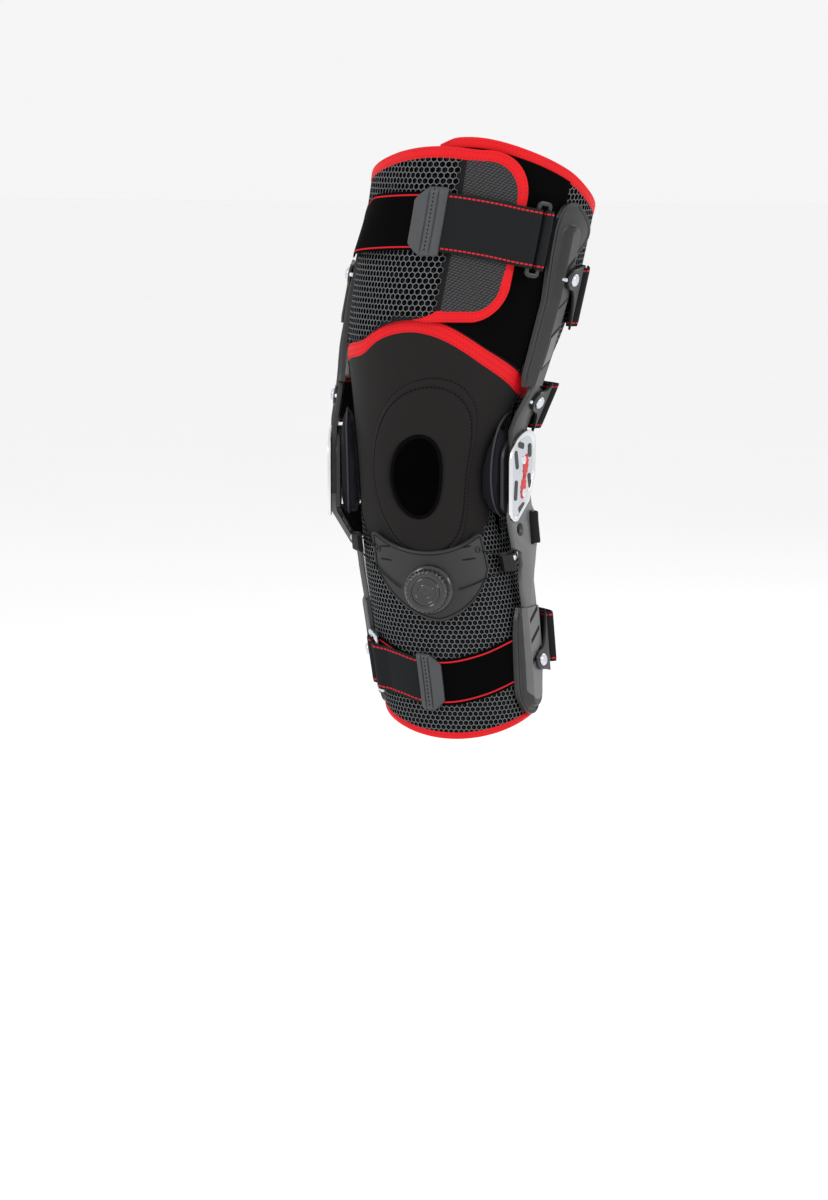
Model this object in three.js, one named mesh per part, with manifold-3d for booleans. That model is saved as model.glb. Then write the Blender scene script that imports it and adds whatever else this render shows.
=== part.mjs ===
// Hinged knee ligament brace for a left leg, in the form that it has on the limb.
// Millimetres, +Z up. The origin is the middle of the knee, between the two hinges.
// The front of the knee looks along -Y, and the outer (lateral) side along +X.

import * as THREE from "three";
import { mergeVertices } from "three/addons/utils/BufferGeometryUtils.js";
import Module from "manifold-3d";

const wasm = await Module();
wasm.setup();

const DEGREE = Math.PI / 180;
const { lerp, clamp, smoothstep } = THREE.MathUtils;

// Hollow of the brace: axis point, half width, and reach to front and back of the limb at each height.
const LIMB = [
  { z: -230, cx: 27, cy: 12, width: 56, front: 54, back: 60 },
  { z: -190, cx: 25, cy: 11, width: 58, front: 56, back: 63 },
  { z: -140, cx: 20, cy: 10, width: 60, front: 58, back: 65 },
  { z: -70, cx: 9, cy: 6, width: 58, front: 58, back: 60 },
  { z: 0, cx: 0, cy: 2, width: 53, front: 57, back: 56 },
  { z: 60, cx: 8, cy: 6, width: 67, front: 65, back: 66 },
  { z: 100, cx: 16, cy: 10, width: 80, front: 73, back: 78 },
  { z: 150, cx: 26, cy: 15, width: 86, front: 79, back: 86 },
  { z: 210, cx: 37, cy: 20, width: 87, front: 82, back: 91 },
  { z: 270, cx: 46, cy: 25, width: 89, front: 85, back: 94 },
];

// Layers, as depths outside the limb.
const GAP = 0.3;
const LAYER_GAP = 0.5;
const MESH = 3;
const CALF_MESH = 3.5;
const NEOPRENE = 3;
const VELOUR = 1;
const WEBBING = 1.6;
const BINDING = { width: 9, proud: 0.4 };
const HEM_WIDTH = 5.5;
const ANGLE_STEP = 12;
const THIGH_ARC = 1.6;
const CALF_ARC = 1.1;

// Thigh wrap: it starts at the front, goes round by the lateral side and ends in the flap, one turn on.
const WRAP = { start: -12, corner: 372, end: 395, rampFrom: 315, rampTo: 345, tapeEnd: 361 };
const FLAP_RISE = MESH + LAYER_GAP + VELOUR + LAYER_GAP + BINDING.proud;
const FLAP_BOTTOM = 123.8;
const FLAP_CORNERS = { topHeight: 38, bottomHeight: 27, bottomDegrees: 16 };
const WRAP_TOP = [
  { angle: -12, z: 260 },
  { angle: -4, z: 265 },
  { angle: 12, z: 264 },
  { angle: 33, z: 255 },
  { angle: 58, z: 240 },
  { angle: 80, z: 224 },
  { angle: 102, z: 213 },
  { angle: 140, z: 207 },
  { angle: 190, z: 207 },
  { angle: 240, z: 220 },
  { angle: 306, z: 247.5 },
  { angle: 327, z: 255 },
  { angle: 349, z: 258.5 },
  { angle: 370, z: 255.5 },
];

// Middle line of the red tape that joins the thigh wrap to the parts below it.
const TAPE_WIDTH = 12.5;
const TAPE = [
  { angle: -75, z: 93.5 },
  { angle: -64, z: 97 },
  { angle: -44, z: 102 },
  { angle: -32, z: 113 },
  { angle: -21, z: 119 },
  { angle: -10, z: 121 },
  { angle: 0, z: 118.8 },
  { angle: 10, z: 113.5 },
  { angle: 20, z: 106 },
  { angle: 33, z: 95.5 },
  { angle: 56, z: 80 },
  { angle: 75, z: 68.5 },
  { angle: 105, z: 60 },
  { angle: 180, z: 57 },
  { angle: 250, z: 70 },
  { angle: 285, z: 93.5 },
];

// Velour field for the flap and the front strap.
const LOOP_PANEL = { from: -12, to: 60, edge: 10 };

// Knee panel with its patella hole, and the raised oval round the hole.
const KNEE_PANEL = { reach: 72, sideBottom: -25, drop: 50 };
const PATELLA = { angle: 4.5, z: 2, halfWidth: 20, halfHeight: 32 };
const OVAL = { angle: 7, z: 8, halfDegrees: 42, halfHeight: 72, thick: 1.3, rise: 0.7 };

// Calf sleeve and its hem, which dips at the front.
const HEM = { angle: 6, side: -190, dip: 17 };

// Side frames: the hinge plane looks this far round from the front.
const HINGE_FACE = 77;
const SIDES = [
  {
    name: "lateral",
    sign: 1,
    hinge: { x: 77, y: -10 },
    upper: [
      { z: 0, out: 0, back: 0 },
      { z: 37, out: 0, back: -4 },
      { z: 48, out: 4.5, back: -5 },
      { z: 65, out: 12.5, back: -5 },
      { z: 100, out: 25, back: -5 },
      { z: 140, out: 36.5, back: -4 },
      { z: 190, out: 46, back: -2 },
      { z: 220, out: 50.5, back: -2 },
    ],
    lower: [
      { z: -195, out: 12.6, back: 4 },
      { z: -150, out: 11, back: 4 },
      { z: -112, out: 7.5, back: 4 },
      { z: -75, out: 3.5, back: 3 },
      { z: -36, out: 0, back: 1 },
      { z: 0, out: 0, back: 0 },
    ],
  },
  {
    name: "medial",
    sign: -1,
    hinge: { x: 75, y: -10 },
    upper: [
      { z: 0, out: 0, back: 0 },
      { z: 37, out: 0, back: 2 },
      { z: 65, out: -4, back: 6 },
      { z: 100, out: -6.6, back: 17 },
      { z: 140, out: -12.6, back: 30 },
      { z: 190, out: -23.6, back: 37 },
      { z: 220, out: -28.5, back: 38 },
    ],
    lower: [
      { z: -195, out: -39.2, back: 19 },
      { z: -150, out: -32.7, back: 17 },
      { z: -112, out: -26.3, back: 12 },
      { z: -75, out: -20.8, back: 5 },
      { z: -62, out: -19, back: 2 },
      { z: -55, out: -14.5, back: 1 },
      { z: -30, out: 0, back: 1 },
      { z: 0, out: 0, back: 0 },
    ],
  },
];

// Bars: edges in front of and behind their middle line, from the hinge outwards.
const BAR_HALF = 2;
const UPPER_BAR = [
  { z: 1.5, front: -6, back: 6 },
  { z: 5, front: -12, back: 11 },
  { z: 14, front: -15, back: 14 },
  { z: 34, front: -13, back: 13 },
  { z: 46, front: -12, back: 12 },
  { z: 52, front: -11, back: 17 },
  { z: 66, front: -8, back: 17 },
  { z: 71, front: -6.5, back: 6.5 },
  { z: 186, front: -6.5, back: 6.5 },
];
const LOWER_BAR = [
  { z: -180, front: -7, back: 7 },
  { z: -150, front: -9, back: 9 },
  { z: -112, front: -9, back: 10 },
  { z: -84, front: -10, back: 10 },
  { z: -76, front: -9, back: 13 },
  { z: -70, front: -6, back: 16 },
  { z: -60, front: -6, back: 20 },
  { z: -56, front: -16, back: 22 },
  { z: -30, front: -20, back: 22 },
  { z: -24, front: -19, back: 17 },
  { z: -12, front: -15, back: 14 },
  { z: -5, front: -12, back: 11 },
  { z: -1.5, front: -6, back: 6 },
];
const PIVOT = { z: 13, radius: 4 };
const BAR_HOLE = { back: -4, z: -42, radius: 5.5 };
const STRAP_SLOT = { front: 12.5, back: 17.5, from: -56, to: -29 };

// Shells: edges of the flange in front of and behind the bar's middle line.
const SHELL = { skin: 2.5, barDepth: 4.2, cap: 1.5, ridgeWall: 2, ridgeSlope: 1.5 };
const UPPER_SHELL = [
  { z: 72, front: -10, back: 10 },
  { z: 79, front: -14, back: 11 },
  { z: 100, front: -15, back: 11 },
  { z: 140, front: -15, back: 11 },
  { z: 174, front: -17, back: 12 },
  { z: 182, front: -17, back: 24 },
  { z: 191, front: -17, back: 30 },
  { z: 200, front: -16, back: 23 },
  { z: 209, front: -13, back: 11 },
  { z: 215, front: -8, back: 3 },
];
const LOWER_SHELL = [
  { z: -190, front: -5, back: 5 },
  { z: -184, front: -11, back: 12 },
  { z: -172, front: -15, back: 17 },
  { z: -150, front: -16, back: 16 },
  { z: -125, front: -15, back: 14 },
  { z: -110, front: -14, back: 13 },
  { z: -104, front: -11, back: 11 },
];
const UPPER_RIDGE = { from: 72, to: 191, taper: 7 };
const LOWER_RIDGE = { from: -184, to: -104, taper: -6 };

// Hinge: case behind the bars, cover in front of them.
const CASE = { inner: -5.3, outer: -2.3, raise: 6 };
const COVER = { inner: 2.3, outer: 4.8, rim: 3, recess: 1 };

// Pad between hinge and knee.
const PAD = { z: 9, back: -3, halfWidth: 24, halfHeight: 42, thick: 15, clear: 1.2 };

// Swivel brackets that carry the straps behind the limb: frame height, rivet above its middle, length.
const BRACKET = { thick: 2.5, ear: 8, web: 11, bar: 4.5, slot: 5.5, bend: 14, rise: 0.4 };
const RIVET = { radius: 5, head: 2.6 };
const BRACKETS = [
  { name: "thigh", bar: "upper", z: 141, rivet: 15, length: 60, strap: 46, seat: 3.5, back: 4 },
  { name: "knee", bar: "upper", z: 54, rivet: 6, length: 52, strap: 36, seat: 2, back: 9.5 },
  { name: "calf", bar: "lower", z: -131, rivet: -16, length: 54, strap: 40, seat: 3.5, back: 4 },
];
const UPPER_CALF_STRAP = { z: -42.5, width: 25 };

// Front straps: middle height round the limb, ring bars, tab and how far the strap folds back.
const STRAP_GAP = 0.5;
const RING_GAP = 0.7;
const THIGH_STRAP = {
  width: 45,
  depth: 10.1,
  end: -79,
  endDepth: 8.6,
  fold: -2,
  ring: { near: 40, far: 45.4, height: 57, bar: 2.4 },
  anchor: { to: 51.5, depth: 5.8 },
  tab: 26,
  middle: [
    { angle: -90, z: 190 },
    { angle: -57, z: 197 },
    { angle: -36, z: 200 },
    { angle: -17, z: 201.3 },
    { angle: -2, z: 200.6 },
    { angle: 17, z: 196 },
    { angle: 37, z: 189 },
    { angle: 60, z: 182 },
  ],
};
const CALF_STRAP = {
  width: 37,
  depth: 4.9,
  end: 66,
  endDepth: 4.9,
  fold: -14,
  ring: { near: -52, far: -60.5, height: 48, bar: 3 },
  anchor: { to: -74, depth: 4.9 },
  tab: 18.5,
  middle: [
    { angle: -80, z: -147 },
    { angle: -55, z: -150 },
    { angle: -32, z: -155 },
    { angle: -13, z: -160 },
    { angle: 8, z: -160.5 },
    { angle: 30, z: -155.5 },
    { angle: 55, z: -147 },
    { angle: 70, z: -143 },
  ],
};
const TAB = { overhang: 4, thick: 4.2, tongue: 0.28 };

// Half-moon plate under the kneecap, and the dial on it.
const PLATE = {
  angle: 6,
  halfDegrees: 44,
  depth: 5.6,
  thick: 2.5,
  topDip: -56,
  earRise: 16,
  bottom: -60,
  drop: 52,
};
const DIAL = {
  angle: 4,
  z: -86,
  baseRadius: 19.5,
  baseHeight: 5,
  floor: 1.2,
  skirt: 5,
  gripRadius: 17.5,
  gripHeight: 9.5,
  flutes: 16,
  fluteDepth: 0.8,
  hubRadius: 8,
  capRadius: 11,
  capThick: 2.2,
  bore: 4.4,
  running: 0.4,
};

// Laces: stations of angle, height and depth, from the dial over the plate to the guide and back to the ear.
const LACE_RADIUS = 0.6;
const LACE_BORE = 1.1;
const LACES = {
  lateral: [
    { angle: 24.2, z: -86, depth: 9.6 },
    { angle: 36, z: -82, depth: 9 },
    { angle: 46, z: -78, depth: 9.2 },
    { angle: 55, z: -74.5, depth: 10.6 },
    { angle: 60.5, z: -72, depth: 11.8 },
    { angle: 63, z: -67, depth: 12.4 },
    { angle: 60.5, z: -62, depth: 11.8 },
    { angle: 55, z: -59.5, depth: 10.6 },
    { angle: 47, z: -57, depth: 9 },
  ],
  medial: [
    { angle: -16.2, z: -86, depth: 9.6 },
    { angle: -27, z: -78, depth: 9 },
    { angle: -37, z: -70, depth: 9.2 },
    { angle: -48, z: -63, depth: 10.2 },
    { angle: -54.5, z: -59, depth: 10.8 },
    { angle: -57, z: -54, depth: 11 },
    { angle: -54.5, z: -49, depth: 10.8 },
    { angle: -48, z: -49.5, depth: 10.2 },
    { angle: -35, z: -54, depth: 9 },
  ],
};
const GUIDES = {
  lateral: { angle: 62, z: -67, depth: 9.5, width: 13, height: 15, thick: 6 },
  medial: { angle: -56, z: -54, depth: 8.2, width: 13, height: 15, thick: 6 },
};

// Finishes.
const FINISH = {
  mesh: { color: 0x26282a, roughness: 0.9, metalness: 0 },
  red: { color: 0xd8101c, roughness: 0.75, metalness: 0 },
  velour: { color: 0x0b0b0c, roughness: 1, metalness: 0 },
  neoprene: { color: 0x161515, roughness: 0.95, metalness: 0 },
  webbing: { color: 0x1d1f22, roughness: 0.85, metalness: 0 },
  rubber: { color: 0x4a4d52, roughness: 0.6, metalness: 0 },
  plastic: { color: 0x35383b, roughness: 0.45, metalness: 0 },
  bar: { color: 0x6d7073, roughness: 0.45, metalness: 0.6 },
  silver: { color: 0xd8dadb, roughness: 0.25, metalness: 1 },
  steel: { color: 0xb9bdc0, roughness: 0.3, metalness: 1 },
  pad: { color: 0x14151c, roughness: 0.9, metalness: 0 },
  plate: { color: 0x2c2e31, roughness: 0.55, metalness: 0 },
  dial: { color: 0x2f3234, roughness: 0.3, metalness: 0 },
  lace: { color: 0x15161a, roughness: 0.5, metalness: 0 },
};

const brace = new THREE.Group();

/** Adds a named piece to a group. */
function addPiece(name, geometry, finish, group = brace) {
  const mesh = new THREE.Mesh(geometry, new THREE.MeshStandardMaterial(FINISH[finish]));
  mesh.name = name;
  group.add(mesh);
  return mesh;
}

/** Rows of a table on both sides of a value of its key column, and the share of the way between them. */
function rowsAround(table, key, at) {
  const above = table.findIndex((row) => row[key] > at);
  const upper = above < 0 ? table.length - 1 : Math.max(above, 1);
  const from = table[upper - 1];
  const to = table[upper];
  return { upper, from, to, share: clamp((at - from[key]) / (to[key] - from[key]), 0, 1) };
}

/** Value of a column on straight lines between the rows of a table. */
function straightValue(table, key, column, at) {
  const { from, to, share } = rowsAround(table, key, at);
  return lerp(from[column], to[column], share);
}

/** Value of a column on a smooth curve through the rows of a table. */
function smoothValue(table, key, column, at) {
  const { upper, from, to, share } = rowsAround(table, key, at);
  const slope = (row) => {
    const before = table[Math.max(row - 1, 0)];
    const after = table[Math.min(row + 1, table.length - 1)];
    return (after[column] - before[column]) / (after[key] - before[key]);
  };
  const span = to[key] - from[key];
  const square = share * share;
  const cube = square * share;
  return (
    (2 * cube - 3 * square + 1) * from[column] +
    (cube - 2 * square + share) * span * slope(upper - 1) +
    (3 * square - 2 * cube) * to[column] +
    (cube - square) * span * slope(upper)
  );
}

/** Point at an angle round the limb (0 front, 90 lateral), a height, and a depth outside the limb. */
function onLimb(angle, z, depth) {
  const at = (column) => smoothValue(LIMB, "z", column, z);
  const sine = Math.sin(angle * DEGREE);
  const cosine = Math.cos(angle * DEGREE);
  const width = at("width");
  const reach = cosine > 0 ? at("front") : at("back");
  const normal = new THREE.Vector2(sine / width, -cosine / reach).normalize();
  const x = at("cx") + width * sine + depth * normal.x;
  const y = at("cy") - reach * cosine + depth * normal.y;
  return new THREE.Vector3(x, y, z);
}

/** Values from one end to the other, with the multiples of a step between them. */
function stations(from, to, step = ANGLE_STEP) {
  const list = [from];
  for (let at = Math.floor(from / step + 1.2) * step; at < to - 0.2 * step; at += step) list.push(at);
  list.push(to);
  return list;
}

/** Shares from 0 to 1 in equal steps. */
function shares(steps) {
  return Array.from({ length: steps + 1 }, (_, step) => step / steps);
}

/** Closed wall between two faces of points, each a grid of columns and rows. */
function wall(columns, rows, point, ring = false) {
  const face = columns.length * rows.length;
  const points = [0, 1].flatMap((side) => columns.flatMap((u) => rows.map((v) => point(u, v, side))));
  const at = (side, column, row) => side * face + (column % columns.length) * rows.length + row;
  const index = [];
  const length = (a, b) => points[a].distanceTo(points[b]);
  const quad = (a, b, c, d) => {
    const split = length(a, c) <= length(b, d) ? [a, b, c, a, c, d] : [b, c, d, b, d, a];
    index.push(...split);
  };
  const spans = ring ? columns.length : columns.length - 1;
  const top = rows.length - 1;
  for (let i = 0; i < spans; i += 1) {
    for (let j = 0; j < top; j += 1) {
      quad(at(1, i, j), at(1, i + 1, j), at(1, i + 1, j + 1), at(1, i, j + 1));
      quad(at(0, i, j), at(0, i, j + 1), at(0, i + 1, j + 1), at(0, i + 1, j));
    }
    quad(at(0, i, 0), at(0, i + 1, 0), at(1, i + 1, 0), at(1, i, 0));
    quad(at(1, i, top), at(1, i + 1, top), at(0, i + 1, top), at(0, i, top));
  }
  for (let j = 0; j < top && !ring; j += 1) {
    quad(at(0, 0, j), at(1, 0, j), at(1, 0, j + 1), at(0, 0, j + 1));
    quad(at(1, spans, j), at(0, spans, j), at(0, spans, j + 1), at(1, spans, j + 1));
  }
  return facingOut(points, index);
}

/** Geometry of a closed surface, with its triangles turned to face outwards. */
function facingOut(points, index) {
  let volume = 0;
  for (let k = 0; k < index.length; k += 3) {
    const [a, b, c] = [points[index[k]], points[index[k + 1]], points[index[k + 2]]];
    volume += a.dot(b.clone().cross(c));
  }
  const geometry = new THREE.BufferGeometry().setFromPoints(points);
  geometry.setIndex(volume < 0 ? index.reverse() : index);
  return geometry;
}

/** A geometry as a solid that can be joined and cut. */
function solidOf(geometry) {
  const bare = geometry.clone();
  bare.deleteAttribute("normal");
  bare.deleteAttribute("uv");
  const merged = mergeVertices(bare, 1e-4);
  const mesh = new wasm.Mesh({
    numProp: 3,
    vertProperties: new Float32Array(merged.attributes.position.array),
    triVerts: new Uint32Array(merged.index.array),
  });
  return new wasm.Manifold(mesh);
}

/** A joined or cut solid as a geometry again. */
function geometryOf(solid) {
  const { vertProperties, triVerts } = solid.getMesh();
  const geometry = new THREE.BufferGeometry();
  geometry.setAttribute("position", new THREE.BufferAttribute(new Float32Array(vertProperties), 3));
  geometry.setIndex(Array.from(triVerts));
  return geometry;
}

/** One geometry less others. */
function cut(geometry, ...tools) {
  return geometryOf(tools.reduce((solid, tool) => solid.subtract(solidOf(tool)), solidOf(geometry)));
}

/** Several geometries as one. */
function join(...geometries) {
  return geometryOf(geometries.map(solidOf).reduce((joined, solid) => joined.add(solid)));
}

/** Cloth on the limb between two edges given by angle, with depths given by angle. */
function panel(angles, heights, { bottom, top, inner, outer }, ring = false) {
  const point = (angle, v, side) => {
    const z = lerp(bottom(angle), top(angle), v);
    return onLimb(angle, z, side ? outer(angle) : inner(angle));
  };
  return wall(angles, heights, point, ring);
}

/** Flat geometry laid on the limb: its x runs round the limb, its y up and its z outwards. */
function laid(geometry, angle, z, depth, arc, slope = 0) {
  const positions = geometry.attributes.position;
  for (let k = 0; k < positions.count; k += 1) {
    const x = positions.getX(k);
    const place = onLimb(angle + x / arc, z + positions.getY(k) + slope * x, depth + positions.getZ(k));
    positions.setXYZ(k, place.x, place.y, place.z);
  }
  return geometry;
}

/** Rounded rectangle round the origin. */
function roundedRectangle(width, height, radius) {
  const [x, y] = [width / 2 - radius, height / 2 - radius];
  const shape = new THREE.Shape();
  shape.absarc(x, y, radius, 0, 90 * DEGREE);
  shape.absarc(-x, y, radius, 90 * DEGREE, 180 * DEGREE);
  shape.absarc(-x, -y, radius, 180 * DEGREE, 270 * DEGREE);
  shape.absarc(x, -y, radius, 270 * DEGREE, 360 * DEGREE);
  return shape;
}

/** Flat plate of an outline. */
function plate(shape, depth, curveSegments = 4) {
  return new THREE.ExtrudeGeometry(shape, { depth, bevelEnabled: false, curveSegments });
}

/** Angle as the tape's table counts it, from -75 round to 285. */
function tapeAngle(angle) {
  return ((((angle + 75) % 360) + 360) % 360) - 75;
}

const tapeMiddle = (angle) => smoothValue(TAPE, "angle", "z", tapeAngle(angle));
const tapeTop = (angle) => tapeMiddle(angle) + TAPE_WIDTH / 2;
const tapeBottom = (angle) => tapeMiddle(angle) - TAPE_WIDTH / 2;
const kneeSide = KNEE_PANEL.reach + 0.6;
const behindKnee = stations(KNEE_PANEL.reach + ANGLE_STEP, 180);
const lateralHalf = [...stations(0, KNEE_PANEL.reach), kneeSide, ...behindKnee];
const aroundLimb = [...lateralHalf.slice(1, -1).reverse().map((angle) => -angle), ...lateralHalf];

/** Depth of the wrap's inner face: the flap rises over the wrap's own start. */
function wrapDepth(turn) {
  return FLAP_RISE * smoothstep(turn, WRAP.rampFrom, WRAP.rampTo);
}

/** Upper and lower edge of the wrap at an angle, inset from the outside of the binding. */
function wrapEdges(turn, inset) {
  const reach = inset / THIGH_ARC;
  const topSpan = WRAP.end - reach - WRAP.corner;
  const topShare = clamp((turn - WRAP.corner) / topSpan, 0, 1);
  const bottomSpan = FLAP_CORNERS.bottomDegrees - reach;
  const bottomShare = clamp((turn - WRAP.end + FLAP_CORNERS.bottomDegrees) / bottomSpan, 0, 1);
  const drop = (share, height) => height * (1 - Math.sqrt(1 - share * share));
  const top = smoothValue(WRAP_TOP, "angle", "z", turn) - inset;
  const bottom = turn > WRAP.tapeEnd ? FLAP_BOTTOM + inset : tapeTop(turn) + GAP;
  return {
    top: top - drop(topShare, FLAP_CORNERS.topHeight - inset),
    bottom: bottom + drop(bottomShare, FLAP_CORNERS.bottomHeight - inset),
  };
}

/** Angles of the flap's rounded end, inset from the outside of the binding. */
function cornerTurns(start, inset) {
  const span = WRAP.end - inset / THIGH_ARC - start;
  return [0.35, 0.6, 0.8, 0.93, 1].map((share) => start + share * span);
}

/** Thigh wrap, its binding, the velour field and the tape below them. */
function makeThigh() {
  const inset = BINDING.width + GAP;
  const walls = [...stations(WRAP.start, WRAP.tapeEnd), WRAP.tapeEnd + 0.5];
  walls.push(WRAP.corner, ...cornerTurns(WRAP.corner, inset));
  const wrap = panel(walls, shares(6), {
    bottom: (turn) => wrapEdges(turn, inset).bottom,
    top: (turn) => wrapEdges(turn, inset).top,
    inner: wrapDepth,
    outer: (turn) => wrapDepth(turn) + MESH,
  });
  addPiece("thigh_wrap", wrap, "mesh");

  const edgeAt = (turns, edge, width) => turns.map((turn) => ({ turn, z: wrapEdges(turn, width)[edge] }));
  const edgePath = (width) => [
    ...edgeAt([...stations(WRAP.start, WRAP.corner), ...cornerTurns(WRAP.corner, width)], "top", width),
    ...edgeAt(cornerTurns(WRAP.end - FLAP_CORNERS.bottomDegrees, width).reverse(), "bottom", width),
    ...edgeAt([WRAP.end - FLAP_CORNERS.bottomDegrees, WRAP.corner, WRAP.tapeEnd + 0.6], "bottom", width),
  ];
  const edges = [edgePath(0), edgePath(BINDING.width)];
  const binding = wall([...edges[0].keys()], [0, 1], (station, row, side) => {
    const { turn, z } = edges[row][station];
    const proud = side ? MESH + BINDING.proud : -BINDING.proud;
    return onLimb(turn, z, wrapDepth(turn) + proud);
  });
  addPiece("wrap_binding", binding, "red");

  const loop = panel(stations(LOOP_PANEL.from, LOOP_PANEL.to), shares(6), {
    bottom: (angle) => tapeTop(angle) + 1,
    top: (angle) => smoothValue(WRAP_TOP, "angle", "z", angle) - LOOP_PANEL.edge,
    inner: () => MESH + LAYER_GAP,
    outer: () => MESH + LAYER_GAP + VELOUR,
  });
  addPiece("loop_panel", loop, "velour");

  const tape = panel(aroundLimb, [0, 1], {
    bottom: tapeBottom,
    top: tapeTop,
    inner: () => 0,
    outer: () => MESH + BINDING.proud,
  }, true);
  addPiece("knee_tape", tape, "red");
}

/** Lower edge of the knee panel, deepest at the front. */
function kneeBottom(angle) {
  return KNEE_PANEL.sideBottom - KNEE_PANEL.drop * Math.cos((angle / KNEE_PANEL.reach) * 90 * DEGREE);
}

/** Height of the hem's lower edge. */
function hemBottom(angle) {
  const front = Math.max(0, Math.cos((angle - HEM.angle) * DEGREE));
  return HEM.side - HEM.dip * front ** 1.5;
}

/** Knee panel with its hole, the raised oval, the calf sleeve and its hem. */
function makeKneeAndCalf() {
  const { reach } = KNEE_PANEL;
  const sheet = panel(stations(-reach, reach), shares(6), {
    bottom: kneeBottom,
    top: (angle) => tapeBottom(angle) - GAP,
    inner: () => 0,
    outer: () => NEOPRENE,
  });
  const ellipse = new THREE.Shape();
  ellipse.absellipse(0, 0, PATELLA.halfWidth, PATELLA.halfHeight, 0, 360 * DEGREE);
  const hole = plate(ellipse, 40, 8).rotateX(-90 * DEGREE);
  const middle = onLimb(PATELLA.angle, PATELLA.z, 20);
  hole.rotateZ(PATELLA.angle * DEGREE).translate(middle.x, middle.y, middle.z);
  addPiece("knee_panel", cut(sheet, hole), "neoprene");

  const around = shares(24).slice(0, -1);
  const oval = wall(around, [0, 0.5, 1], (share, out, side) => {
    const [cosine, sine] = [Math.cos(share * 360 * DEGREE), Math.sin(share * 360 * DEGREE)];
    const inside = { angle: PATELLA.angle + 23 * cosine, z: PATELLA.z + (PATELLA.halfHeight + 2) * sine };
    const outside = { angle: OVAL.angle + OVAL.halfDegrees * cosine, z: OVAL.z + OVAL.halfHeight * sine };
    const depth = NEOPRENE + OVAL.rise + side * OVAL.thick;
    return onLimb(lerp(inside.angle, outside.angle, out), lerp(inside.z, outside.z, out), depth);
  }, true);
  addPiece("patella_ring", oval, "neoprene");

  const collar = (angle) => (Math.abs(angle) <= reach ? kneeBottom(angle) : tapeBottom(angle)) - GAP;
  const sleeve = panel(aroundLimb, [0, 0.22, 0.42, 0.58, 0.7, 0.8, 0.9, 1], {
    bottom: (angle) => hemBottom(angle) + HEM_WIDTH + GAP,
    top: collar,
    inner: () => 0,
    outer: () => CALF_MESH,
  }, true);
  addPiece("calf_sleeve", sleeve, "mesh");

  const hem = panel(aroundLimb, [0, 1], {
    bottom: hemBottom,
    top: (angle) => hemBottom(angle) + HEM_WIDTH,
    inner: () => -BINDING.proud,
    outer: () => CALF_MESH + BINDING.proud,
  }, true);
  addPiece("calf_binding", hem, "red");
}

/** Half turn of a strap round a bar, from its inner to its outer side; turn is the way that it bulges. */
function hairpin(angle, depth, radius, limbRadius, turn) {
  const arc = (limbRadius + depth) * DEGREE;
  return [-90, -45, 0, 45, 90].map((way) => ({
    angle: angle + (turn * radius * Math.cos(way * DEGREE)) / arc,
    depth: depth + radius * Math.sin(way * DEGREE),
  }));
}

/** Strap along a path of angles and depths, which may differ between its lower and upper edge. */
function strap(pathAt, width, middle, limbRadius) {
  const rows = [0, 0.5, 1];
  const paths = rows.map(pathAt);
  return wall([...paths[0].keys()], rows, (station, row, side) => {
    const path = paths[rows.indexOf(row)];
    const before = path[Math.max(station - 1, 0)];
    const after = path[Math.min(station + 1, path.length - 1)];
    const { angle, depth } = path[station];
    const arc = (limbRadius + depth) * DEGREE;
    const along = new THREE.Vector2((after.angle - before.angle) * arc, after.depth - before.depth).normalize();
    const off = (side - 0.5) * WEBBING;
    const z = middle(angle) + (row - 0.5) * width;
    return onLimb(angle - (along.y * off) / arc, z, depth + along.x * off);
  });
}

/** Points round a rounded rectangle, with the middles of its long sides. */
function rectangleLoop(width, height, radius) {
  const [x, y] = [width / 2 - radius, height / 2 - radius];
  const corner = (right, up, start) => [0, 45, 90].map((way) => {
    const turn = (start + way) * DEGREE;
    return new THREE.Vector2(right * x + radius * Math.cos(turn), up * y + radius * Math.sin(turn));
  });
  const left = new THREE.Vector2(-width / 2, 0);
  const right = new THREE.Vector2(width / 2, 0);
  return [right, ...corner(1, 1, 0), ...corner(-1, 1, 90), left, ...corner(-1, -1, 180), ...corner(1, -1, 270)];
}

/** Rectangular ring of a front strap, laid along the limb. */
function strapRing(ring, depth, middleAt, arc) {
  const length = Math.abs(ring.far - ring.near) * arc;
  const loops = [
    rectangleLoop(length - ring.bar, ring.height - 2 * ring.bar, 1.2),
    rectangleLoop(length + ring.bar, ring.height, 3),
  ];
  const middle = (ring.near + ring.far) / 2;
  const slope = (middleAt(middle + 5) - middleAt(middle - 5)) / (10 * arc);
  return wall([...loops[0].keys()], [0, 1], (station, row, side) => {
    const { x, y } = loops[row][station];
    return onLimb(middle + x / arc, middleAt(middle) + y + slope * x, depth + (side - 0.5) * ring.bar);
  }, true);
}

/** Angles from one to another, either way round. */
function sweep(from, to) {
  const list = stations(Math.min(from, to), Math.max(from, to));
  return from < to ? list : list.reverse();
}

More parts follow.
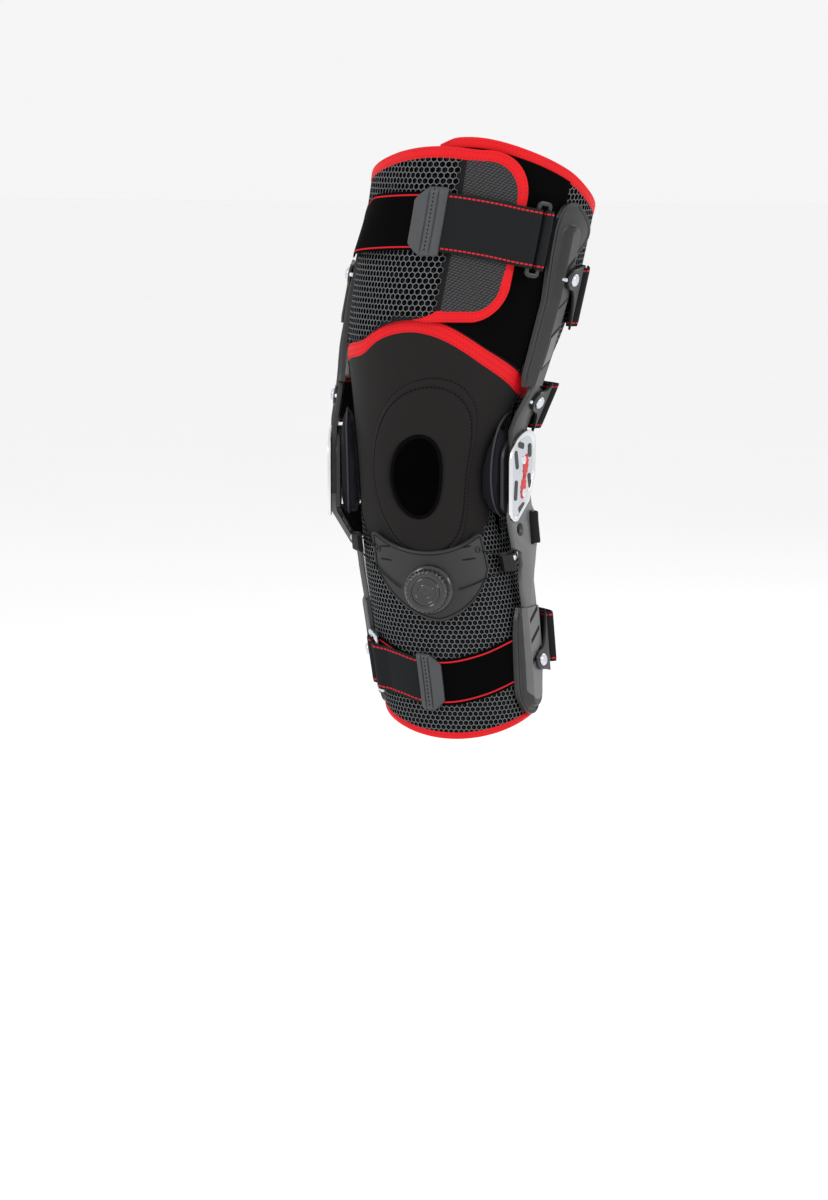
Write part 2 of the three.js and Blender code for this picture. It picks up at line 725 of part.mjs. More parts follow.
/** Front strap that runs to its ring, folds back over itself and ends in a rubber tab. */
function makeFrontStrap(name, spec, arc, ringFinish) {
  const { ring, depth, anchor } = spec;
  const turn = Math.sign(ring.near - spec.end);
  const middleAt = (angle) => smoothValue(spec.middle, "angle", "z", angle);
  const radius = ring.bar * Math.SQRT1_2 + RING_GAP + WEBBING / 2;
  const ringDepth = depth + radius;
  const limbRadius = arc / DEGREE - depth;
  const over = depth + WEBBING + STRAP_GAP;
  const under = sweep(spec.end, ring.near - turn * 4).map((angle) => ({
    angle,
    depth: lerp(spec.endDepth, depth, smoothstep(Math.abs(angle - spec.end), 4, 24)),
  }));
  const back = sweep(ring.near - turn * 10, spec.fold).map((angle) => ({ angle, depth: over }));
  const loop = hairpin(ring.near, ringDepth, radius, limbRadius, turn);
  const crest = { angle: ring.near - turn * 3, depth: ringDepth + radius - 0.5 };
  const path = [...under, ...loop, crest, ...back];
  addPiece(`${name}_strap`, strap(() => path, spec.width, middleAt, limbRadius), "webbing");
  addPiece(`${name}_ring`, strapRing(ring, ringDepth, middleAt, arc), ringFinish);

  const holder = [
    { angle: ring.far + turn * 3.4, depth: anchor.depth + WEBBING + STRAP_GAP + 1.5 },
    { angle: ring.far + turn * 2, depth: ringDepth + radius - 1 },
    ...hairpin(ring.far, ringDepth, radius, limbRadius, -turn).reverse(),
    { angle: ring.far + turn * 2, depth: lerp(ringDepth - radius, anchor.depth, 0.5) },
    { angle: ring.far + turn * 4, depth: anchor.depth },
    { angle: anchor.to, depth: anchor.depth },
  ];
  addPiece(`${name}_ring_tab`, strap(() => holder, spec.width, middleAt, limbRadius), "webbing");

  const grip = wall(shares(4), shares(2), (share, v, side) => {
    const angle = spec.fold - turn * (GAP + share * spec.tab) / arc;
    const half = (spec.width / 2 + TAB.overhang) * (1 - TAB.tongue * smoothstep(share, 0.5, 1));
    const thick = TAB.thick * (1 - 0.4 * smoothstep(share, 0.4, 1));
    return onLimb(angle, middleAt(angle) + (2 * v - 1) * half, depth + WEBBING / 2 + STRAP_GAP + side * thick);
  });
  addPiece(`${name}_tab`, grip, "rubber");
}

/** Out, back and up of a point, seen from the hinge of one side. */
function fromHinge(side, point) {
  const x = point.x * side.sign - side.hinge.x;
  const y = point.y - side.hinge.y;
  const [sine, cosine] = [Math.sin(HINGE_FACE * DEGREE), Math.cos(HINGE_FACE * DEGREE)];
  return new THREE.Vector3(x * sine - y * cosine, x * cosine + y * sine, point.z);
}

/** Point of a layer of the limb that lies a given way back from the hinge of one side. */
function limbBeside(side, back, z, depth) {
  let [low, high] = [10, 160];
  for (let step = 0; step < 40; step += 1) {
    const middle = (low + high) / 2;
    const behind = fromHinge(side, onLimb(side.sign * middle, z, depth)).y > back;
    [low, high] = behind ? [low, middle] : [middle, high];
  }
  return fromHinge(side, onLimb(side.sign * low, z, depth));
}

/** Angle round the limb and depth outside it of a point seen from the hinge of one side. */
function limbPlace(side, place) {
  const away = (angle) => fromHinge(side, onLimb(side.sign * angle, place.z, 0)).distanceTo(place);
  let [low, high] = [20, 160];
  for (let step = 0; step < 60; step += 1) {
    const [a, b] = [lerp(low, high, 0.4), lerp(low, high, 0.6)];
    [low, high] = away(a) < away(b) ? [low, b] : [a, high];
  }
  return { angle: side.sign * low, depth: away(low) };
}

/** Middle line of a bar at a height. */
function barLine(bar, z) {
  return { out: straightValue(bar, "z", "out", z), back: straightValue(bar, "z", "back", z) };
}

/** Heights between two ends at which the tables of a bar have a row. */
function bendsBetween(from, to, ...tables) {
  const rows = tables.flat().map((row) => row.z).filter((z) => z > from && z < to);
  return [...new Set([from, ...rows, to])].sort((a, b) => a - b);
}

/** Bar along its middle line, between edges given by height; grow makes the pocket that it slides in. */
function barSolid(bar, edges, [from, to], grow = 0) {
  return wall([0, 1], bendsBetween(from, to, bar, edges), (u, z, side) => {
    const line = barLine(bar, z);
    const [front, back] = ["front", "back"].map((edge) => straightValue(edges, "z", edge, z));
    const out = line.out + (2 * side - 1) * (BAR_HALF + grow);
    return new THREE.Vector3(out, line.back + lerp(front - grow, back + grow, u), z);
  });
}

/** Round bar along the out direction. */
function crossPin(radius, from, to, back, z, segments = 12) {
  const pin = new THREE.CylinderGeometry(radius, radius, to - from, segments).rotateZ(-90 * DEGREE);
  return pin.translate((from + to) / 2, back, z);
}

/** Plate of an outline in back and up, between two distances out. */
function sidePlate(shape, from, to, curveSegments = 2) {
  const axes = new THREE.Matrix4().makeBasis(
    new THREE.Vector3(0, 1, 0),
    new THREE.Vector3(0, 0, 1),
    new THREE.Vector3(1, 0, 0),
  );
  return plate(shape, to - from, curveSegments).applyMatrix4(axes).translate(from, 0, 0);
}

/** Shell on the limb with a raised ridge round the bar, and the pocket for the bar cut out of it. */
function shellSolid(side, bar, outline, ridge, edges, pocket) {
  const depthAt = (z) => {
    const { out, back } = barLine(bar, z);
    return limbPlace(side, new THREE.Vector3(out, back, z)).depth - SHELL.barDepth;
  };
  const skin = wall(shares(4), outline.map((row) => row.z), (u, z, face) => {
    const edge = (name) => barLine(bar, z).back + straightValue(outline, "z", name, z);
    return limbBeside(side, lerp(edge("front"), edge("back"), u), z, depthAt(z) + face * SHELL.skin);
  });
  const end = ridge.taper > 0 ? ridge.to : ridge.from;
  const heights = bendsBetween(ridge.from, ridge.to, bar, edges, [{ z: end - ridge.taper }]);
  const crest = wall([-2, -1, 1, 2], heights, (column, z, face) => {
    const line = barLine(bar, z);
    const half = straightValue(edges, "z", "back", z) + SHELL.ridgeWall;
    const back = line.back + Math.sign(column) * (half + (Math.abs(column) - 1) * SHELL.ridgeSlope);
    const base = limbBeside(side, back, z, depthAt(z) + SHELL.skin * 0.5);
    const low = base.x + SHELL.skin;
    const full = Math.abs(column) === 1 && z !== end;
    const high = full ? line.out + BAR_HALF + SHELL.cap : low;
    return new THREE.Vector3(face ? Math.max(high, low) : base.x, back, z);
  });
  return cut(join(skin, crest), barSolid(bar, edges, pocket, GAP));
}

/** Outline of the hinge's case and cover, drawn in back and up, less a border; raise lifts its lower end. */
function hingeOutline(border, raise = 0) {
  const shape = new THREE.Shape();
  shape.moveTo(-24 + border, -27 + raise);
  shape.lineTo(-24 + border, 14);
  shape.quadraticCurveTo(-22 + border, 32 - border, 4, 36 - border);
  shape.quadraticCurveTo(17 - border, 37 - border, 19 - border, 26 - border);
  shape.lineTo(18 - border, 0);
  shape.lineTo(8 - border, -20 + border);
  shape.lineTo(-12, -34 + border + raise);
  shape.quadraticCurveTo(-23 + border, -36 + border + raise, -24 + border, -27 + raise);
  return shape;
}

/** Swivel bracket: ear on the rivet, and a bent frame with the slot of the strap. */
function bracketSolid(spec) {
  const { thick, ear, web, bar, slot, bend } = BRACKET;
  const { rivet, length } = spec;
  const lug = new THREE.Shape();
  lug.absarc(0, rivet, ear, 90 * DEGREE, 270 * DEGREE);
  lug.lineTo(web + bar / 2, rivet - 1.3 * ear);
  lug.lineTo(web + bar / 2, rivet + 1.3 * ear);
  const width = 2 * bar + slot;
  const frame = roundedRectangle(width, length, 3);
  frame.holes.push(roundedRectangle(slot, length - 2 * bar, 1.5));
  const bent = sidePlate(frame, 0, thick, 1).translate(0, width / 2, 0).rotateZ(bend * DEGREE);
  return join(sidePlate(lug, 0, thick, 3), bent.translate(0, web, 0));
}

/** Place of a bracket: on the outer face of its seat, leaning with the bar. */
function bracketPlace(side, spec) {
  const bar = side[spec.bar];
  const line = barLine(bar, spec.z);
  const rise = 10;
  const lean = Math.atan2(barLine(bar, spec.z + rise).out - barLine(bar, spec.z - rise).out, 2 * rise);
  const group = new THREE.Group();
  group.position.set(line.out + spec.seat + BRACKET.rise, line.back + spec.back, spec.z);
  group.rotation.y = lean;
  group.updateMatrix();
  return group;
}

/** Bracket's strap bar at a height, as angle and depth on the limb. */
function strapBar(side, spec, z) {
  const { thick, web, bar, slot, bend } = BRACKET;
  const reach = 1.5 * bar + slot;
  const place = bracketPlace(side, spec);
  const out = -reach * Math.sin(bend * DEGREE) + (thick / 2) * Math.cos(bend * DEGREE);
  const back = web + reach * Math.cos(bend * DEGREE);
  const up = (z - spec.z) / Math.cos(place.rotation.y);
  return limbPlace(side, new THREE.Vector3(out, back, up).applyMatrix4(place.matrix));
}

/** Rear bar of the lower bar's strap slot at a height, as angle and depth on the limb. */
function slotBar(side, z) {
  const line = barLine(side.lower, z);
  const back = line.back + (STRAP_SLOT.back + straightValue(LOWER_BAR, "z", "back", z)) / 2;
  return limbPlace(side, new THREE.Vector3(line.out, back, z));
}

/** Strap behind the limb, taut between a bar on each side, with its ends folded back over it. */
function backStrap(z, width, barAt, barRadius) {
  const base = CALF_MESH + STRAP_GAP + WEBBING;
  const radius = barRadius + RING_GAP + WEBBING / 2;
  const limbRadius = smoothValue(LIMB, "z", "back", z);
  const rise = (height, away) => {
    const touch = Math.acos(limbRadius / (limbRadius + height));
    const rest = Math.max(0, touch - away * DEGREE);
    return limbRadius / Math.cos(rest) - limbRadius;
  };
  const pathAt = (row) => {
    const height = z + (row - 0.5) * width;
    const [lateral, medial] = SIDES.map((side) => barAt(side, height));
    const from = lateral.angle;
    const to = 360 + medial.angle;
    const lift = (angle) =>
      base +
      rise(Math.max(lateral.depth - radius - base, 0), angle - from) +
      rise(Math.max(medial.depth - radius - base, 0), to - angle);
    const run = (list) => list.map((angle) => ({ angle, depth: lift(angle) }));
    const folded = (list, angle, depth) =>
      list.map((away, step) => {
        const at = angle + away;
        const crest = Math.max(depth + radius - lift(at), 0);
        const over = Math.max(crest * (1 - (step + 1) / list.length), WEBBING + STRAP_GAP);
        return { angle: at, depth: lift(at) + over };
      });
    const steps = shares(14).slice(1, -1);
    return [
      ...folded([6, 14, 24], from, lateral.depth).reverse(),
      ...hairpin(from, lateral.depth, radius, limbRadius, -1).reverse(),
      ...run(steps.map((share) => lerp(from, to, share))),
      ...hairpin(to, medial.depth, radius, limbRadius, 1),
      ...folded([-6, -14, -24], to, medial.depth),
    ];
  };
  return strap(pathAt, width, () => z, limbRadius);
}

/** Bars, hinge, shells, pad and brackets of one side. */
function makeSide(side) {
  const mirror = new THREE.Group();
  mirror.scale.x = side.sign;
  const frame = new THREE.Group();
  frame.position.set(side.hinge.x, side.hinge.y, 0);
  frame.rotation.z = (HINGE_FACE - 90) * DEGREE;
  mirror.add(frame);
  brace.add(mirror);
  const add = (name, geometry, finish, group = frame) => {
    addPiece(`${side.name}_${name}`, geometry, finish, group);
  };
  const pivotHole = (z) => crossPin(PIVOT.radius + GAP, -6, 6, 0, z);

  const upperEnds = [UPPER_BAR[0].z, UPPER_BAR.at(-1).z];
  const upperPocket = [UPPER_RIDGE.from - 1, upperEnds[1] + GAP];
  const upperBar = barSolid(side.upper, UPPER_BAR, upperEnds);
  add("upper_bar", cut(upperBar, pivotHole(PIVOT.z)), "bar");
  add("upper_shell", shellSolid(side, side.upper, UPPER_SHELL, UPPER_RIDGE, UPPER_BAR, upperPocket), "plastic");

  const lowerEnds = [LOWER_BAR[0].z, LOWER_BAR.at(-1).z];
  const lowerPocket = [lowerEnds[0] - GAP, LOWER_RIDGE.to + 1];
  const eyelet = crossPin(BAR_HOLE.radius, -20, 20, BAR_HOLE.back, BAR_HOLE.z);
  const slot = new THREE.BoxGeometry(60, STRAP_SLOT.back - STRAP_SLOT.front, STRAP_SLOT.to - STRAP_SLOT.from);
  slot.translate(0, (STRAP_SLOT.back + STRAP_SLOT.front) / 2 + 1, (STRAP_SLOT.to + STRAP_SLOT.from) / 2);
  const lowerBar = barSolid(side.lower, LOWER_BAR, lowerEnds);
  add("lower_bar", cut(lowerBar, pivotHole(-PIVOT.z), eyelet, slot), "bar");
  add("lower_shell", shellSolid(side, side.lower, LOWER_SHELL, LOWER_RIDGE, LOWER_BAR, lowerPocket), "plastic");

  const pins = [PIVOT.z, -PIVOT.z].map((z) => crossPin(PIVOT.radius, CASE.inner + 1, BAR_HALF, 0, z));
  add("hinge_case", join(sidePlate(hingeOutline(0, CASE.raise), CASE.inner, CASE.outer), ...pins), "plastic");
  const recess = sidePlate(hingeOutline(COVER.rim), COVER.outer - COVER.recess, COVER.outer + 1);
  add("hinge_cover", cut(sidePlate(hingeOutline(0), COVER.inner, COVER.outer), recess), "silver");

  const pad = wall(shares(5), shares(6), (u, v, face) => {
    const up = (2 * v - 1) * 0.985;
    const z = PAD.z + PAD.halfHeight * up;
    const half = PAD.halfWidth * Math.sqrt(1 - up * up);
    const back = PAD.back + (2 * u - 1) * half;
    const plane = Math.min(0, barLine(side.upper, Math.max(z, 0)).out) + CASE.inner - PAD.clear;
    const limb = limbBeside(side, back, z, CALF_MESH + PAD.clear).x;
    const inner = Math.max(limb, plane - PAD.thick);
    const edge = Math.max(Math.abs(2 * u - 1), Math.abs(up)) ** 4;
    const soft = (plane - inner) * 0.25 * edge;
    return new THREE.Vector3(face ? plane - soft : inner + soft, back, z);
  });
  add("condyle_pad", pad, "pad");

  for (const spec of BRACKETS) {
    const place = bracketPlace(side, spec);
    frame.add(place);
    add(`${spec.name}_bracket`, bracketSolid(spec), "plastic", place);
    const { radius, head } = RIVET;
    const dome = [[0, 0], [radius, 0], [radius * 0.9, head * 0.6], [0, head]];
    const rivet = new THREE.LatheGeometry(dome.map(([x, y]) => new THREE.Vector2(x, y)), 8);
    rivet.rotateZ(-90 * DEGREE).translate(BRACKET.thick + GAP, 0, spec.rivet);
    add(`${spec.name}_rivet`, rivet, "steel", place);
  }
}

/** Straps that close the brace behind the limb. */
function makeBackStraps() {
  for (const spec of BRACKETS) {
    const barAt = (side, z) => strapBar(side, spec, z);
    const barRadius = Math.hypot(BRACKET.bar, BRACKET.thick) / 2;
    addPiece(`${spec.name}_back_strap`, backStrap(spec.z, spec.strap, barAt, barRadius), "webbing");
  }
  const { z, width } = UPPER_CALF_STRAP;
  addPiece("calf_upper_back_strap", backStrap(z, width, slotBar, BAR_HALF * 1.75), "webbing");
}

/** Height of the plate's upper edge. */
function plateTop(angle) {
  return PLATE.topDip + PLATE.earRise * ((angle - PLATE.angle) / PLATE.halfDegrees) ** 2;
}

/** Height of the plate's lower edge, a flattened half round. */
function plateBottom(angle) {
  const share = Math.min(Math.abs(angle - PLATE.angle) / (PLATE.halfDegrees + 1), 1);
  return PLATE.bottom - PLATE.drop * (1 - share ** 1.6) ** 0.62;
}

/** Half-moon plate, or the space that it takes up with a gap round it. */
function plateSolid(inner, outer) {
  const angles = stations(PLATE.angle - PLATE.halfDegrees, PLATE.angle + PLATE.halfDegrees);
  const faces = { inner: () => inner, outer: () => outer };
  return panel(angles, shares(4), { bottom: plateBottom, top: plateTop, ...faces });
}

/** Lathe of a profile of radius and height, about the dial's axis. */
function turned(profile, segments = 16) {
  const points = profile.map(([radius, height]) => new THREE.Vector2(radius, height));
  return new THREE.LatheGeometry(points, segments).rotateX(90 * DEGREE);
}

/** Plate under the kneecap and the dial that winds its laces. */
function makeDial() {
  const outer = PLATE.depth + PLATE.thick;
  addPiece("tendon_plate", plateSolid(PLATE.depth, outer), "plate");

  const seat = onLimb(DIAL.angle, DIAL.z, outer + GAP);
  const dial = new THREE.Group();
  dial.position.copy(seat);
  const facing = onLimb(DIAL.angle, DIAL.z, outer + 1).sub(onLimb(DIAL.angle, DIAL.z, outer));
  dial.quaternion.setFromUnitVectors(new THREE.Vector3(0, 0, 1), facing.normalize());
  dial.updateMatrix();
  brace.add(dial);

  const { baseRadius, baseHeight, skirt, floor, bore, running, gripRadius, gripHeight, hubRadius } = DIAL;
  const base = turned([
    [0, -skirt], [baseRadius, -skirt], [baseRadius, baseHeight - 2], [baseRadius - 2, baseHeight],
    [bore + running, baseHeight], [bore + running, floor], [0, floor],
  ]);
  const space = plateSolid(0, outer + GAP).applyMatrix4(dial.matrix.clone().invert());
  addPiece("dial_base", cut(base, space), "dial", dial);

  const low = baseHeight + running;
  const high = low + gripHeight;
  const shelf = high - DIAL.capThick;
  const hub = turned([
    [0, floor + running], [bore, floor + running], [bore, low], [hubRadius, low],
    [hubRadius, shelf + running], [DIAL.capRadius, shelf + running], [DIAL.capRadius, high], [0, high + 0.6],
  ]);
  addPiece("dial_hub", hub, "dial", dial);

  const outline = new THREE.Shape();
  const teeth = shares(2 * DIAL.flutes).slice(0, -1).map((share, step) => {
    const radius = gripRadius - (step % 2) * DIAL.fluteDepth;
    return new THREE.Vector2(radius * Math.cos(share * 360 * DEGREE), radius * Math.sin(share * 360 * DEGREE));
  });
  outline.setFromPoints(teeth);
  const ring = plate(outline, gripHeight, 1).translate(0, 0, low);
  const inside = turned([
    [0, low - 1], [hubRadius + running, low - 1], [hubRadius + running, shelf],
    [DIAL.capRadius + running, shelf], [DIAL.capRadius + running, high + 1], [0, high + 1],
  ]);
  addPiece("dial_grip", cut(ring, inside), "dial", dial);
}

/** Tube along the stations of a lace. */
function laceTube(route, radius, steps) {
  const points = route.map(({ angle, z, depth }) => onLimb(angle, z, depth));
  const section = new THREE.Shape();
  section.absarc(0, 0, radius, 0, 360 * DEGREE);
  return new THREE.ExtrudeGeometry(section, {
    extrudePath: new THREE.CatmullRomCurve3(points),
    steps,
    curveSegments: 3,
  });
}

/** Laces from the dial, and the guides that turn them back to the plate. */
function makeLaces() {
  for (const { name, sign } of SIDES) {
    const route = LACES[name];
    const guide = GUIDES[name];
    addPiece(`lace_${name}`, laceTube(route, LACE_RADIUS, 16), "lace");
    const block = plate(roundedRectangle(guide.width, guide.height, 3), guide.thick, 1);
    const placed = laid(block, guide.angle + sign * 2, guide.z, guide.depth, CALF_ARC);
    addPiece(`lace_guide_${name}`, cut(placed, laceTube(route, LACE_BORE, 16)), "plastic");
  }
}

makeThigh();
makeKneeAndCalf();
makeFrontStrap("thigh", THIGH_STRAP, THIGH_ARC, "plastic");
makeFrontStrap("calf", CALF_STRAP, CALF_ARC, "steel");
SIDES.forEach(makeSide);
makeBackStraps();
makeDial();
makeLaces();

export default brace;
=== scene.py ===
"""Hinged knee ligament brace: cloth, straps, side frames and dial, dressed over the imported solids.

Tables are in millimetres and degrees. Angles run round the limb from the front, and grow towards its outer
side. Meshes are in metres.
"""

import logging
import math
from collections.abc import Callable, Sequence
from dataclasses import dataclass
from enum import Enum
from functools import cache, cached_property
from typing import NamedTuple

import bmesh
import bpy
from bmesh.types import BMesh, BMFace, BMVert
from mathutils import Matrix, Vector


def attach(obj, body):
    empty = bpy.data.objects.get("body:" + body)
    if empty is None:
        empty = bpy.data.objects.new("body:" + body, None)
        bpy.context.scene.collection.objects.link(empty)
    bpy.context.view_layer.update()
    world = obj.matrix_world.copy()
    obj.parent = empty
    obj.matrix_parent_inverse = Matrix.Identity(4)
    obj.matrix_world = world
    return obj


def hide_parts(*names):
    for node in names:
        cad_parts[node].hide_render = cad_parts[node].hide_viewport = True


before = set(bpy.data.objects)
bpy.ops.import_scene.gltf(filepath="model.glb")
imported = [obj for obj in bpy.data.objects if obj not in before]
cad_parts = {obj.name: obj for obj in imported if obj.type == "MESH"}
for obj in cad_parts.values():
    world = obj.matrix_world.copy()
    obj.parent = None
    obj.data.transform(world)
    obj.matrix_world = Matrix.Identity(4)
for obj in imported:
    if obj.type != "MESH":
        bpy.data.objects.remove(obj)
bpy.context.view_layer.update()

LOG = logging.getLogger("knee_brace")
MM = 0.001
GAP = 0.3
Table = Sequence[tuple[float, float]]
Flat = tuple[float, float]
Spot = tuple[float, float, float]
Color = tuple[float, float, float, float]
Place = Callable[[float, float, float], Vector]
UvMap = Callable[[float, float], Flat]
Node = bpy.types.Node
Socket = bpy.types.NodeSocket
Tree = bpy.types.NodeTree
Piece = bpy.types.Object


class Side(Enum):
    """Side of the limb that a frame half stands on."""

    LATERAL = "lateral"
    MEDIAL = "medial"

    @property
    def sign(self) -> int:
        """Sign of the side along X."""
        return 1 if self is Side.LATERAL else -1


class Coords(Enum):
    """Coordinates that a finish is laid out in."""

    UV = "UV"
    OBJECT = "Object"


def mix(start: float, stop: float, share: float) -> float:
    """Value a share of the way between two others."""
    return start + (stop - start) * share


def mix_spots(first: Sequence[float], second: Sequence[float], share: float) -> tuple[float, ...]:
    """Place a share of the way between two others."""
    return tuple(mix(a, b, share) for a, b in zip(first, second))


def clamp(value: float) -> float:
    """Value held between 0 and 1."""
    return min(max(value, 0.0), 1.0)


def smooth_step(at: float, low: float, high: float) -> float:
    """Share that eases from 0 at low to 1 at high."""
    share = clamp((at - low) / (high - low))
    return share * share * (3 - 2 * share)


def dent(at: float, middle: float, half: float) -> float:
    """Bell curve of height 1 round a middle."""
    return math.exp(-(((at - middle) / half) ** 2))


def signed_power(value: float, power: float) -> float:
    """Power of a value that keeps its sign."""
    return math.copysign(abs(value) ** power, value)


def spread(start: float, stop: float, steps: int) -> list[float]:
    """Values from one end to the other in equal steps."""
    return [mix(start, stop, step / steps) for step in range(steps + 1)]


def last_true(low: float, high: float, steps: int, test: Callable[[float], bool]) -> float:
    """Last place between two where a test still holds.

    Args:
        low: place where it holds.
        high: place where it no longer does.
        steps: halvings of the span.
        test: the test.

    Returns:
        The place.
    """
    for _ in range(steps):
        middle = (low + high) / 2
        low, high = (middle, high) if test(middle) else (low, middle)
    return low


def upper_row(table: Table, at: float) -> int:
    """Index of the row that closes the span of a table round a value."""
    past = (index for index, row in enumerate(table) if row[0] > at)
    return max(next(past, len(table) - 1), 1)


def straight_value(table: Table, at: float) -> float:
    """Value on straight lines between the rows of a table.

    Args:
        table: rows of place and value, in rising order.
        at: place to read.

    Returns:
        Value there, held at the ends.
    """
    upper = upper_row(table, at)
    (low, start), (high, stop) = table[upper - 1], table[upper]
    return mix(start, stop, clamp((at - low) / (high - low)))


def smooth_value(table: Table, at: float) -> float:
    """Value on a smooth curve through the rows of a table.

    Args:
        table: rows of place and value, in rising order.
        at: place to read.

    Returns:
        Value there, held at the ends.
    """
    upper = upper_row(table, at)

    def slope(row: int) -> float:
        """Slope of the curve at a row."""
        before, after = table[max(row - 1, 0)], table[min(row + 1, len(table) - 1)]
        return (after[1] - before[1]) / (after[0] - before[0])

    (low, start), (high, stop) = table[upper - 1], table[upper]
    span = high - low
    share = clamp((at - low) / span)
    square = share * share
    cube = square * share
    return (
        (2 * cube - 3 * square + 1) * start
        + (cube - 2 * square + share) * span * slope(upper - 1)
        + (3 * square - 2 * cube) * stop
        + (cube - square) * span * slope(upper)
    )


def curve_through(points: Sequence[Sequence[float]], steps: int) -> list[tuple[float, ...]]:
    """Smooth curve through points of any number of columns.

    Args:
        points: points in order.
        steps: steps from each point to the next.

    Returns:
        Points of the curve, with the given ones among them.
    """
    last = len(points) - 1
    line = []
    for index in range(last):
        around = [points[min(max(index + shift, 0), last)] for shift in (-1, 0, 1, 2)]
        for step in range(steps):
            t = step / steps
            weights = (
                -0.5 * t + t * t - 0.5 * t**3,
                1 - 2.5 * t * t + 1.5 * t**3,
                0.5 * t + 2 * t * t - 1.5 * t**3,
                -0.5 * t * t + 0.5 * t**3,
            )
            line.append(tuple(sum(w * v for w, v in zip(weights, column)) for column in zip(*around)))
    line.append(tuple(points[last]))
    return line


class LimbRow(NamedTuple):
    """Size and place of the limb's section at a height."""

    z: float
    cx: float
    cy: float
    width: float
    front: float
    back: float


class LegForm:
    """Smooth form that the brace keeps."""

    def __init__(self, rows: Sequence[LimbRow], step: float = 0.5) -> None:
        """Reads the table once for every step of height.

        Args:
            rows: sections of the limb, from the lowest up.
            step: height between two readings.
        """
        self.low = rows[0].z
        self.step = step
        columns = [[(row.z, row[column]) for row in rows] for column in range(1, 6)]
        heights = [self.low + index * step for index in range(int((rows[-1].z - self.low) / step) + 1)]
        self.levels = [tuple(smooth_value(column, z) for column in columns) for z in heights]

    def level(self, z: float) -> tuple[float, ...]:
        """Section of the limb at a height.

        Args:
            z: height.

        Returns:
            Middle, half width, front and back reach.
        """
        at = min(max((z - self.low) / self.step, 0.0), len(self.levels) - 1.001)
        index = int(at)
        return mix_spots(self.levels[index], self.levels[index + 1], at - index)

    def flat_place(self, angle: float, z: float, depth: float) -> Spot:
        """Point of the limb in millimetres.

        Args:
            angle: angle from the front.
            z: height.
            depth: depth outside the limb.

        Returns:
            The point.
        """
        cx, cy, width, front, back = self.level(z)
        sine = math.sin(math.radians(angle))
        cosine = math.cos(math.radians(angle))
        reach = front if cosine > 0 else back
        across = sine / width
        along = -cosine / reach
        scale = depth / math.hypot(across, along)
        return cx + width * sine + across * scale, cy - reach * cosine + along * scale, z

    def place(self, angle: float, z: float, depth: float) -> Vector:
        """Point of the limb in metres, at an angle, a height and a depth outside it."""
        return Vector(self.flat_place(angle, z, depth)) * MM


LEG = LegForm(
    (
        LimbRow(-230, 27, 12, 56, 54, 60),
        LimbRow(-190, 25, 11, 58, 56, 63),
        LimbRow(-140, 20, 10, 60, 58, 65),
        LimbRow(-70, 9, 6, 58, 58, 60),
        LimbRow(0, 0, 2, 53, 57, 56),
        LimbRow(60, 8, 6, 67, 65, 66),
        LimbRow(100, 16, 10, 80, 73, 78),
        LimbRow(150, 26, 15, 86, 79, 86),
        LimbRow(210, 37, 20, 87, 82, 91),
        LimbRow(270, 46, 25, 89, 85, 94),
    )
)
MESH = 3.0
CALF_MESH = 3.5
NEOPRENE = 3.0
WEBBING = 1.6
STRAP_GAP = 0.5
RING_GAP = 0.7
THIGH_ARC = 1.6
CALF_ARC = 1.1


def calf_uv(angle: float, z: float) -> Flat:
    """Map of cloth below the thigh, in metres."""
    return angle * CALF_ARC * MM, z * MM


class Sketch:
    """Node tree being drawn: adds nodes and links them."""

    def __init__(self, tree: Tree) -> None:
        """Starts on a tree."""
        self.tree = tree

    def feed(self, target: Socket, source: object) -> None:
        """Links a socket, or sets its value.

        Args:
            target: socket of a node.
            source: socket to link, or a value.
        """
        if isinstance(source, Socket):
            self.tree.links.new(source, target)
        else:
            target.default_value = source

    def add(self, kind: str, inputs: dict | None = None, **settings: object) -> Node:
        """Adds a node.

        Args:
            kind: type of the node.
            inputs: socket or value for each input, by name or number.
            settings: properties of the node.

        Returns:
            The node.
        """
        made = self.tree.nodes.new(kind)
        for name, value in settings.items():
            setattr(made, name, value)
        for name, source in (inputs or {}).items():
            self.feed(made.inputs[name], source)
        return made

    def math(self, operation: str, *values: object) -> Socket:
        """Adds a sum of up to three values."""
        return self.add("ShaderNodeMath", dict(enumerate(values)), operation=operation).outputs[0]

    def blend(self, share: object, first: object, second: object) -> Socket:
        """Adds a blend of two colours."""
        return self.add("ShaderNodeMix", {0: share, 6: first, 7: second}, data_type="RGBA").outputs[2]

    def ranged(self, value: Socket, low: float, high: float) -> Socket:
        """Spreads a value from 0 to 1 over another range."""
        made = self.add("ShaderNodeMapRange", {"Value": value, "To Min": low, "To Max": high})
        return made.outputs["Result"]

    def noise(self, where: Socket, scale: float, detail: float) -> Socket:
        """Adds noise of a scale per metre."""
        made = self.add("ShaderNodeTexNoise", {"Vector": where, "Scale": scale, "Detail": detail})
        return made.outputs["Fac"]

    def parts(self, vector: Socket) -> Sequence[Socket]:
        """Splits a vector into its axes."""
        return self.add("ShaderNodeSeparateXYZ", {0: vector}).outputs


Draw = Callable[[Sketch, Node], Sequence[Socket]]


